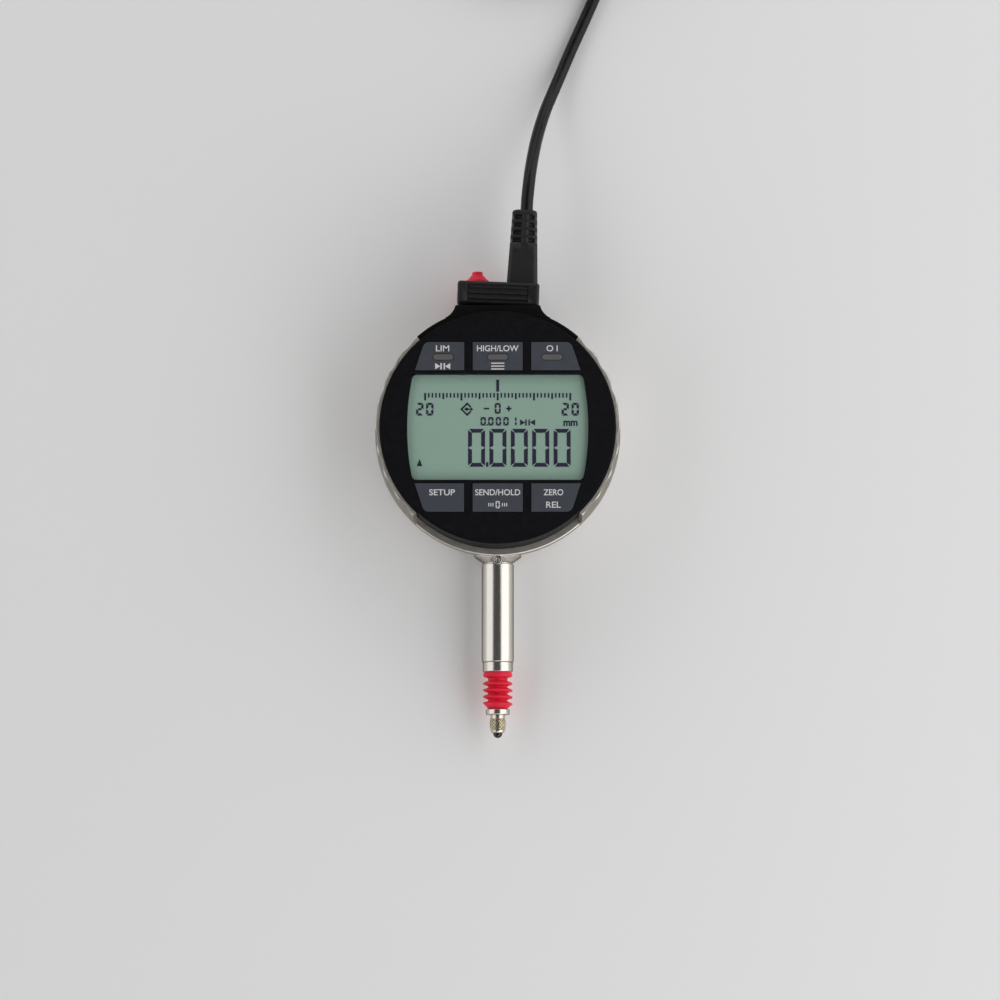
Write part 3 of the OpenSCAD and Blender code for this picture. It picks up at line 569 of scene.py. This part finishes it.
def coil_turns():
    """Turns beside and on each other: each layer runs from one side to the other and back.
    A turn steps over to the next place in its first half."""
    radii = [COIL_MID_R + (k - (COIL_COLUMNS - 1) / 2) * CABLE_D for k in range(COIL_COLUMNS)]
    places = []
    for layer in range(COIL_LAYERS):
        columns = reversed(radii) if layer % 2 == 0 else radii
        places += [(r, CABLE_D * (layer + 0.5)) for r in columns]
    places = places[: (COIL_LAYERS - 1) * COIL_COLUMNS + COIL_TOP_TURNS]
    line = []
    for i, (r, z) in enumerate(places):
        before_r, before_z = places[max(0, i - 1)]
        is_last = i == len(places) - 1
        share = LAST_TURN_SHARE if is_last else 1.0
        for k in range(round(STEPS_PER_TURN * share) + is_last):
            angle = 2 * math.pi * k / STEPS_PER_TURN
            move = smooth_step(k / STEPS_PER_TURN / STEP_OVER)
            radius = before_r + (r - before_r) * move
            height = before_z + (z - before_z) * move
            line.append(
                COIL_CENTRE
                + Vector((radius * math.cos(angle), radius * math.sin(angle), height))
            )
    return line


def make_cable():
    line = through(CABLE_ROUTE)[:-1] + coil_turns()[:-1] + through(CABLE_END_ROUTE)
    curve = bpy.data.curves.new("cable_run", "CURVE")
    curve.dimensions = "3D"
    curve.bevel_depth = CABLE_D / 2
    curve.bevel_resolution = 4
    curve.use_fill_caps = True
    spline = curve.splines.new("POLY")
    spline.points.add(len(line) - 1)
    for point, place in zip(spline.points, line):
        point.co = (*place, 1)
    spline.use_smooth = True
    cable = bpy.data.objects.new("cable_run", curve)
    scene.collection.objects.link(cable)
    cable.data.materials.append(FINISHES["cable_black"])
    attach(cable, HOUSING)
    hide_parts("cable", "cable_coil", "cable_end")
    return cable


cable_run = make_cable()


# ---------------------------------------------------------------- data plug and strain relief

# The plug's own frame turns about the middle of the neck's top
PLUG_TURN = math.radians(-2.2)
NECK_TOP_Y = 30.5
PLUG_HALF_W = 10.15
PLUG_Y = (31.1, 36.95)
PLUG_Z = (10.6, 21.6)
RELIEF_X = 5.8
RELIEF_Y = (36.6, 56.0)
RELIEF_W = (7.75, 6.15)
RELIEF_Z = 16.1
RELIEF_T = (6.4, 5.0)
RELIEF_ROUND = 1.15
RELIEF_END_ROUND = 0.8


def on_plug(point):
    """A point of the plug's own frame, in the part's frame, in mm."""
    x, y, z = point
    y -= NECK_TOP_Y
    c, s = math.cos(PLUG_TURN), math.sin(PLUG_TURN)
    return (c * x - s * y, NECK_TOP_Y + s * x + c * y, z)


def rounded_box(low, high, r, segments=4):
    """bmesh of a box with all its edges rounded, in mm."""
    work = bmesh.new()
    bmesh.ops.create_cube(work, size=1)
    size = Vector(high) - Vector(low)
    middle = (Vector(high) + Vector(low)) / 2
    for v in work.verts:
        v.co = Vector((v.co.x * size.x, v.co.y * size.y, v.co.z * size.z)) + middle
    bmesh.ops.bevel(
        work, geom=work.edges[:], offset=r, segments=segments, profile=0.5, affect="EDGES"
    )
    return work


def plug_block():
    """Block with a shallow recess in its front and three split ridges in the recess."""
    recess_low, recess_high, recess_depth = (-7.7, 31.85), (7.5, 36.2), 0.4
    work = rounded_box(
        (-PLUG_HALF_W, PLUG_Y[0], PLUG_Z[0]), (PLUG_HALF_W, PLUG_Y[1], PLUG_Z[1]), 0.75
    )
    front = max(work.faces, key=lambda f: f.calc_center_median().z)
    bmesh.ops.inset_region(work, faces=[front], thickness=0.3)
    for v in front.verts:
        v.co.x = recess_low[0] if v.co.x < 0 else recess_high[0]
        v.co.y = recess_low[1] if v.co.y < (PLUG_Y[0] + PLUG_Y[1]) / 2 else recess_high[1]
    bmesh.ops.inset_region(work, faces=[front], thickness=0.12, depth=-recess_depth)
    points, faces = [], []

    def add(other):
        start = len(points)
        other.verts.index_update()
        other.verts.ensure_lookup_table()
        points.extend(on_plug(v.co) for v in other.verts)
        faces.extend(tuple(start + v.index for v in f.verts) for f in other.faces)
        other.free()

    add(work)
    ridge_pitch, ridge_half_h, ridge_gap, ridge_end = 1.38, 0.27, 0.12, 0.35
    middle_y = (recess_low[1] + recess_high[1]) / 2
    for row in (-1, 0, 1):
        y = middle_y + row * ridge_pitch
        left = (recess_low[0] + ridge_end, -ridge_gap)
        right = (ridge_gap, recess_high[0] - ridge_end)
        for x0, x1 in (left, right):
            ridge = rounded_box(
                (x0, y - ridge_half_h, PLUG_Z[1] - recess_depth - 0.3),
                (x1, y + ridge_half_h, PLUG_Z[1] - 0.06),
                0.14,
                2,
            )
            add(ridge)
    tongue = rounded_box((-7.2, 28.1, 10.9), (7.2, PLUG_Y[0] + 0.6, 12.45), 0.2, 2)
    add(tongue)
    obj = new_piece(
        "plug_block", mesh_mm("plug_block", points, faces), HOUSING, "black_plastic", ("data_plug",)
    )
    shade(obj)
    obj.modifiers.new("weighted_normals", "WEIGHTED_NORMAL")
    return obj


def relief_section(y, notched):
    """Ring round the relief at one place along it: a rounded rectangle whose front corners
    are cut back where the notches are."""
    t = (y - RELIEF_Y[0]) / (RELIEF_Y[1] - RELIEF_Y[0])
    half_w = (RELIEF_W[0] + (RELIEF_W[1] - RELIEF_W[0]) * t) / 2
    half_t = (RELIEF_T[0] + (RELIEF_T[1] - RELIEF_T[0]) * t) / 2
    end = max(0.0, (y - (RELIEF_Y[1] - RELIEF_END_ROUND)) / RELIEF_END_ROUND)
    shrink = RELIEF_END_ROUND * (1 - math.sqrt(max(0.0, 1 - end * end)))
    half_w, half_t = half_w - shrink, half_t - shrink
    bar_low, bar_high = -0.5, 1.05
    corner = []
    for cx, cz, a0 in ((1, 1, 0), (-1, 1, 90), (-1, -1, 180), (1, -1, 270)):
        for k in range(7):
            a = math.radians(a0 + 15 * k)
            r = RELIEF_ROUND
            corner.append(
                (cx * (half_w - r) + r * math.cos(a), cz * (half_t - r) + r * math.sin(a))
            )
        if (cx, cz) == (1, 1):
            for x in (bar_high + 0.12, bar_high, bar_low, bar_low - 0.12):
                corner.append((x, half_t))
    side_cut, front_cut = 0.55, 1.15
    ring = []
    for x, z in corner:
        if notched and z > 0 and (x >= bar_high + 0.1 or x <= bar_low - 0.1):
            z = min(z, half_t - front_cut)
            x = max(-half_w + side_cut, min(half_w - side_cut, x))
        ring.append(on_plug((RELIEF_X + x, y, RELIEF_Z + z)))
    return ring


def relief_bar():
    first_row, row_h, pitch, slope = 1.35, 1.15, 1.97, 0.1
    marks = [(RELIEF_Y[0], False), (RELIEF_Y[0] + 0.4, False)]
    marks += [(y, False) for y in (40.0, 43.0, 45.5)]
    for i in (3, 2, 1, 0):
        high = RELIEF_Y[1] - first_row - i * pitch
        marks += [
            (high - row_h - slope, False), (high - row_h, True), (high - slope, True), (high, False)
        ]
    end_steps = 6
    for k in range(end_steps + 1):
        round_over = math.sin(math.pi / 2 * k / end_steps)
        marks.append((RELIEF_Y[1] - RELIEF_END_ROUND * (1 - round_over), False))
    points, faces = loft([relief_section(y, cut) for y, cut in marks])
    obj = new_piece(
        "relief_bar",
        mesh_mm("relief_bar", points, faces),
        HOUSING,
        "black_plastic",
        ("strain_relief",),
    )
    shade(obj, 40)
    obj.modifiers.new("weighted_normals", "WEIGHTED_NORMAL")
    return obj


plug_piece = plug_block()
relief_piece = relief_bar()
usb_relief_piece = softened("usb_relief", HOUSING, "black_plastic", 0.15)
usb_grip_piece = softened("usb_grip", HOUSING, "black_plastic", 0.45, 3)
usb_shell_piece = softened("usb_shell", HOUSING, "steel_screw", 0.06)


# ---------------------------------------------------------------- stem, bellows and contact


def make_bellows():
    """Thin rubber folds: a wide first and last fold and three discs between them."""
    low, high = box_mm("bellows")
    length = high.y - low.y
    valley_r, crest_r, crest_half, crest_crown, wall = 2.45, 3.68, 0.17, 0.06, 0.56
    collar_r, collar_flare, foot_taper, inner_r, lean_spread = 3.4, 0.28, 1.3, 2.16, 0.6
    folds = [0.96, 2.95, 4.63, 6.27, 7.95]
    lean_of_fold = [0.0, 0.008, 0.02, 0.032, 0.045]

    def radius(d):
        away = min(abs(d - c) for c in folds)
        r = crest_r - crest_crown * min(1, (away / crest_half) ** 2)
        if away > crest_half:
            r -= (crest_r - valley_r - crest_crown) * smooth_step((away - crest_half) / wall)
        if d < folds[0]:
            r = collar_r + collar_flare * smooth_step(d / folds[0])
        if d > folds[-1] + crest_half:
            down = (d - folds[-1] - crest_half) / (length - folds[-1] - crest_half)
            r = crest_r - crest_crown - foot_taper * down**0.8
        return r

    def lean(y):
        d = high.y - y
        near = min(range(len(folds)), key=lambda i: abs(d - folds[i]))
        return -lean_of_fold[near] * math.exp(-(((d - folds[near]) / lean_spread) ** 2))

    steps = 120
    depths = [length * k / steps for k in range(steps + 1)]
    outside = [(radius(d), high.y - d) for d in depths]
    profile = [(inner_r, high.y)] + outside + [(inner_r, low.y)]
    obj = lathe(
        "bellows_skin", profile, 96, HOUSING, "red_rubber", ("bellows",), tilt=lean, angle=60
    )
    return obj, high


def make_contact_point():
    """Neck, diamond knurl on a slightly barrelled body, and a nose that holds the ball."""
    low, high = box_mm("contact_point")
    ring_low_y = box_mm("bellows_ring")[0].y
    neck_r, neck_low_y = 1.75, ring_low_y - 0.85
    knurl_high, knurl_low = neck_low_y - 0.1, low.y + 1.15
    body_r, nose_r, groove_depth, helices = 2.0, 1.2, 0.45, 15
    rows, steps = 84, 360
    rings = []

    def ring(r, y, cut=0.0):
        made = []
        turn = helices * (y - knurl_low) / body_r
        for k in range(steps):
            a = 2 * math.pi * k / steps
            crossing = max(abs(math.cos((helices * a + way * turn) / 2)) for way in (-1, 1))
            radius = r - cut * groove_depth * smooth_step((crossing - 0.72) / 0.28)
            made.append((radius * math.cos(a), y, STEM_Z + radius * math.sin(a)))
        return made

    def body(share):
        """Radius of the knurled body, from its top (0) to its nose (1)."""
        if share < 0.45:
            return body_r - 0.22 * (1 - share / 0.45) ** 2
        return body_r - 0.28 * ((share - 0.45) / 0.55) ** 2.5

    for r, y in ((1.24, high.y), (1.24, ring_low_y - 0.02), (neck_r, ring_low_y - 0.02)):
        rings.append(ring(r, y))
    rings.append(ring(neck_r, neck_low_y))
    for k in range(rows + 1):
        share = k / rows
        y = knurl_high + (knurl_low - knurl_high) * share
        rings.append(ring(body(share), y, min(1, k / 3, (rows - k) / 3)))
    for k in range(1, 9):
        a = math.pi / 2 * k / 8
        rings.append(
            ring(nose_r + (body(1) - nose_r) * math.cos(a), knurl_low - 0.62 * math.sin(a))
        )
    rings.append(ring(nose_r - 0.2, knurl_low - 0.6))
    points, faces = loft(rings)
    obj = new_piece(
        "contact_knurled",
        mesh_mm("contact_knurled", points, faces),
        SPINDLE,
        "point_steel",
        ("contact_point",),
    )
    shade(obj, 40)


def make_lift_plug():
    """Rubber plug of the lifting-cable port: a stepped cone with a small nub."""
    low, high = box_mm("lift_port_plug")
    x0, z0 = (low.x + high.x) / 2, (low.z + high.z) / 2
    top = high.y
    profile = [
        (2.15, low.y), (2.15, NECK_TOP_Y), (2.95, NECK_TOP_Y), (3.1, NECK_TOP_Y + 0.2),
        (3.1, 35.0), (3.0, top - 2.7), (2.92, top - 2.35), (2.75, top - 2.12),
        (2.5, top - 2.0), (2.42, top - 1.95), (1.75, top - 1.15), (1.6, top - 1.0),
        (1.42, top - 0.85), (1.36, top - 0.6), (1.34, top - 0.3), (1.26, top - 0.12),
        (1.1, top - 0.03), (0.9, top),
    ]
    lathe("lift_plug", profile, 64, HOUSING, "red_rubber", ("lift_port_plug",), centre=(x0, z0))


bellows_skin, bellows_top = make_bellows()
make_contact_point()
make_lift_plug()


def shorten(piece):
    """Gives the piece a mesh of its own."""
    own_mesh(piece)


shorten(bellows_skin)

spring = new_piece(
    "return_spring_coil",
    frame["nodes"]["return_spring"].data.copy(),
    HOUSING,
    "steel_screw",
    ("return_spring",),
)
shade(spring, 60)
shorten(spring)

softened("stem", HOUSING, "ground_steel", 0.06)
softened("stem_end_ring", HOUSING, "ground_steel", 0.05)
softened("bellows_ring", SPINDLE, "ground_steel", 0.06)
softened("collar_screw", HOUSING, "steel_screw", 0.16, 3)


# ---------------------------------------------------------------- housing and display unit

softened("housing", HOUSING, "satin_metal", 0.12)
# The top housing takes the darker copy of black plastic: painted shade
paint(softened("top_housing", HOUSING, "black_plastic", 0.15), "black_painted_shade")
softened("back_cover", HOUSING, "black_plastic", 0.1)
softened("battery_cap", HOUSING, "black_plastic", 0.12)
# The bezel takes the darker copy of black plastic: painted shade
paint(softened("bezel", DISPLAY, "black_plastic", 0.06), "black_painted_shade")

KEYS = {
    "key_limits": "key_limits_body",
    "key_high_low": "key_high_low_body",
    "key_power": "key_power_body",
    "key_set": "key_set_body",
    "key_hold": "key_hold_body",
    "key_zero": "key_zero_body",
}
for key, key_body in KEYS.items():
    softened(key, key_body, "key_grey", 0.07)


def mirrored_loop(quarter):
    """Closed outline from its first quarter, which starts on the X axis."""
    right_top = quarter
    left_top = [(-x, y) for x, y in reversed(quarter)]
    left_low = [(-x, -y) for x, y in quarter[1:]]
    right_low = [(x, -y) for x, y in reversed(quarter[1:])]
    return right_top + left_top + left_low + right_low


def window_outline(half_w, half_h, bow, r, steps=14):
    """Window with straight top and bottom, bowed sides and rounded corners, in mm."""
    bow_r = (half_h * half_h + bow * bow) / (2 * bow)
    side_r = bow_r - r
    corner_y = half_h - r
    corner_x = half_w - bow_r + math.sqrt(side_r * side_r - corner_y * corner_y)
    lean = math.asin(corner_y / side_r)
    quarter = []
    for k in range(steps + 1):
        a = lean * k / steps
        quarter.append((half_w - bow_r + bow_r * math.cos(a), bow_r * math.sin(a)))
    for k in range(1, 9):
        a = lean + (math.pi / 2 - lean) * k / 8
        quarter.append((corner_x + r * math.cos(a), corner_y + r * math.sin(a)))
    return mirrored_loop(quarter)


def make_window_mask():
    """Printed black border under the clear window, with rounded corners."""
    inner = window_outline(half_w=22.2, half_h=13.0, bow=1.35, r=1.1)
    outer = [(x * 1.045, y * 1.06) for x, y in inner]
    low_z, high_z = WINDOW_LOW_Z - 0.12, WINDOW_LOW_Z - 0.02
    count = len(inner)
    points = []
    for loop, z in ((inner, high_z), (outer, high_z), (outer, low_z), (inner, low_z)):
        points += [(x, y, z) for x, y in loop]
    faces = []
    for ring in range(4):
        for k in range(count):
            a, b = ring * count + k, ring * count + (k + 1) % count
            c, d = (ring + 1) % 4 * count + k, (ring + 1) % 4 * count + (k + 1) % count
            faces.append((a, b, d, c))
    obj = new_piece("window_mask", mesh_mm("window_mask", points, faces), DISPLAY, "face_black")
    shade(obj)


make_window_mask()


# ---------------------------------------------------------------- printed marks


class Print:
    """Flat marks of one ink on one surface, gathered into one thin mesh. Millimetres."""

    def __init__(self, name, body, slot, low_z, thickness):
        self.name, self.body, self.slot = name, body, slot
        self.low_z, self.high_z = low_z, low_z + thickness
        self.points, self.faces = [], []

    def shape(self, outline):
        """Prism over a simple outline of (x, y) points."""
        start, count = len(self.points), len(outline)
        area = sum(
            a[0] * b[1] - b[0] * a[1] for a, b in zip(outline, outline[1:] + outline[:1])
        )
        if area < 0:
            outline = outline[::-1]
        for z in (self.low_z, self.high_z):
            self.points += [(x, y, z) for x, y in outline]
        triangles = tessellate_polygon([[Vector((x, y, 0)) for x, y in outline]])
        for a, b, c in triangles:
            self.faces.append((start + count + a, start + count + b, start + count + c))
        for k in range(count):
            after = (k + 1) % count
            self.faces.append(
                (start + k, start + after, start + count + after, start + count + k)
            )
        return self

    def bar(self, x0, y0, x1, y1):
        return self.shape([(x0, y0), (x1, y0), (x1, y1), (x0, y1)])

    def text(self, words, x, y, height, width, weight=0.012):
        """Words in the built-in font, centred on (x, y), with capitals of the given height."""
        curve = bpy.data.curves.new("words", "FONT")
        curve.body = words
        curve.offset = weight
        curve.extrude = 0.01
        writer = bpy.data.objects.new("words", curve)
        scene.collection.objects.link(writer)
        bpy.context.view_layer.update()
        mesh = writer.evaluated_get(bpy.context.evaluated_depsgraph_get()).to_mesh()
        places = [v.co.copy() for v in mesh.vertices]
        lows = [min(p[i] for p in places) for i in range(3)]
        highs = [max(p[i] for p in places) for i in range(3)]
        start = len(self.points)
        sizes = (width, height, self.high_z - self.low_z)
        middles = (x, y, (self.low_z + self.high_z) / 2)
        for p in places:
            self.points.append(
                tuple(
                    middles[i] + ((p[i] - lows[i]) / (highs[i] - lows[i]) - 0.5) * sizes[i]
                    for i in range(3)
                )
            )
        self.faces += [tuple(start + v for v in face.vertices) for face in mesh.polygons]
        writer.to_mesh_clear()
        bpy.data.objects.remove(writer)
        bpy.data.curves.remove(curve)
        return self

    def make(self):
        mesh = mesh_mm(self.name, self.points, self.faces)
        obj = new_piece(self.name, mesh, self.body, self.slot)
        shade(obj)
        return obj


def seven_segments(sheet, lit, x, y, w, h, stroke, gap):
    """One digit centred on (x, y), its segments named a to g from the top clockwise."""
    left, right, low, high = x - w / 2, x + w / 2, y - h / 2, y + h / 2
    t, c, g = stroke, stroke * 0.28, gap
    waist = 0.45 * t

    def level(edge, inwards):
        """Segment along the top or the bottom edge."""
        inner = edge + inwards * t
        return [
            (left + c + g, edge), (right - c - g, edge),
            (right - t - g, inner), (left + t + g, inner),
        ]

    def upright(side, inwards, edge, way):
        """Half of a side, from an outer edge to the digit's waist."""
        inner = side + inwards * t
        return [
            (side, edge - way * (c + g)), (inner, edge - way * (t + g)),
            (inner, y + way * (waist + g)), (side, y + way * g),
        ]

    shapes = {
        "a": level(high, -1),
        "d": level(low, 1),
        "f": upright(left, 1, high, 1),
        "b": upright(right, -1, high, 1),
        "e": upright(left, 1, low, -1),
        "c": upright(right, -1, low, -1),
        "g": [
            (left + 0.6 * t + g, y), (left + t + g, y + waist), (right - t - g, y + waist),
            (right - 0.6 * t - g, y), (right - t - g, y - waist), (left + t + g, y - waist),
        ],
    }
    for name in lit:
        sheet.shape(shapes[name])


DIGITS = {"0": "abcdef", "1": "bc", "2": "abged"}


def limit_mark(sheet, x, y, half_w, half_h):
    """Two triangles that point at a pair of bars: a pair of limits."""
    bar_w, bar_x = half_w * 0.2, half_w * 0.11
    for way in (-1, 1):
        sheet.shape(
            [
                (x + way * half_w, y - half_h), (x + way * half_w, y + half_h),
                (x + way * (bar_x + bar_w), y),
            ]
        )
        sheet.bar(
            x + min(way * bar_x, way * (bar_x + bar_w)), y - half_h,
            x + max(way * bar_x, way * (bar_x + bar_w)), y + half_h,
        )


def make_lcd_marks():
    """Scale, signs and digits of the display, in millimetres from the axis that it turns on."""
    sheet = Print("lcd_marks", DISPLAY, "segment_dark", LCD_TOP_Z + 0.01, 0.03)
    # pointer and scale
    sheet.bar(-0.36, 8.86, 0.36, 11.85)
    divisions, pitch = 40, 0.891
    for i in range(divisions + 1):
        x = (i - divisions / 2) * pitch
        if i % 10 == 0:
            foot, half = 6.69, 0.24
        elif i % 5 == 0:
            foot, half = 7.0, 0.22
        else:
            foot, half = 7.38, 0.19
        sheet.bar(x - half, foot, x + half, 8.52)
    # ends of the scale and its middle
    for middle in (-17.9, 17.8):
        for i, digit in enumerate("20"):
            x = middle - 1.22 + 2.44 * i
            seven_segments(sheet, DIGITS[digit], x, 4.5, 1.8, 3.17, 0.56, 0.04)
    seven_segments(sheet, DIGITS["0"], 0, 4.72, 1.45, 2.65, 0.46, 0.0)
    sheet.bar(-3.44, 4.47, -2.1, 4.85)
    sheet.bar(2.06, 4.47, 3.4, 4.85)
    sheet.bar(2.54, 3.99, 2.92, 5.33)
    sheet.text("mm", 17.85, 1.0, 1.35, 3.5, 0.035)
    # measuring-direction mark
    make_direction_mark(sheet, -7.5, 4.5)
    # smallest step, and the limit mark beside it
    for i, digit in enumerate("0000"):
        seven_segments(sheet, DIGITS[digit], -3.55 + 1.86 * i, 1.5, 1.3, 2.1, 0.44, 0.0)
    sheet.bar(-2.77, 0.44, -2.41, 0.8)
    for y0, y1 in ((0.55, 1.3), (1.62, 2.42)):
        sheet.bar(4.25, y0, 4.62, y1)
    limit_mark(sheet, 7.33, 1.22, 1.86, 0.76)
    # reading
    for i in range(5):
        seven_segments(sheet, DIGITS["0"], -5.19 + 5.245 * i, -5.05, 4.16, 9.36, 0.95, 0.05)
    sheet.bar(-2.86, -9.73, -2.28, -8.6)
    # pointer at the lower left edge
    sheet.shape([(-19.74, -9.6), (-18.54, -9.6), (-18.54, -9.35), (-19.14, -7.82), (-19.74, -9.35)])
    return sheet.make()


def make_direction_mark(sheet, x, y):
    """Open diamond with a small diamond inside and an arrow that leaves it to the right."""
    r, t = 1.4, 0.42
    short = 0.75
    arms = [
        ((-r, 0), (0, r)),
        ((-r, 0), (0, -r)),
        ((0, r), (short, r - short)),
        ((0, -r), (short, short - r)),
    ]
    for (x0, y0), (x1, y1) in arms:
        along = Vector((x1 - x0, y1 - y0)).normalized()
        across = Vector((-along.y, along.x)) * t / 2
        a = Vector((x0, y0)) - along * t / 2
        b = Vector((x1, y1)) + along * t / 2
        sheet.shape([(x + p.x, y + p.y) for p in (a - across, b - across, b + across, a + across)])
    sheet.bar(x - 0.7, y - 0.15, x + 0.9, y + 0.15)
    sheet.shape([(x + 0.85, y - 0.5), (x + 1.5, y), (x + 0.85, y + 0.5)])
    sheet.shape([(x - 0.62, y), (x - 0.1, y - 0.52), (x + 0.42, y), (x - 0.1, y + 0.52)])


def key_print(key):
    return Print(key + "_legend", KEYS[key], "legend_white", KEY_TOP_Z - 0.01, 0.03)


def make_legends():
    """Words and signs on the key caps, in millimetres from the same axis."""
    top_y, low_y, second_y = 19.4, -16.2, -19.25
    cap = 1.5

    sheet = key_print("key_limits").text("LIM", -13.55, top_y, cap, 3.3)
    limit_mark(sheet, -13.5, 14.95, 1.86, 0.78)
    sheet.make()

    sheet = key_print("key_high_low").text("HIGH/LOW", 0, top_y, cap, 10.2)
    for row in (-1, 0, 1):
        sheet.bar(-1.62, 14.98 + 0.72 * row - 0.14, 1.62, 14.98 + 0.72 * row + 0.14)
    sheet.make()

    key_print("key_power").text("O I", 13.35, top_y, cap, 2.75).make()
    key_print("key_set").text("SETUP", -13.6, low_y, cap, 6.3).make()

    sheet = key_print("key_hold").text("SEND/HOLD", 0.0, low_y, cap, 11.0)
    for way in (-1, 1):
        for i in range(3):
            x = way * (1.15 + 0.52 * i)
            sheet.bar(x - 0.11, second_y - 0.42, x + 0.11, second_y + 0.42)
    seven_segments(sheet, DIGITS["0"], 0, second_y, 1.0, 1.75, 0.26, 0.0)
    sheet.make()

    sheet = key_print("key_zero").text("ZERO", 13.6, low_y, cap, 4.8)
    sheet.text("REL", 13.6, second_y, cap, 3.6).make()


make_lcd_marks()
make_legends()
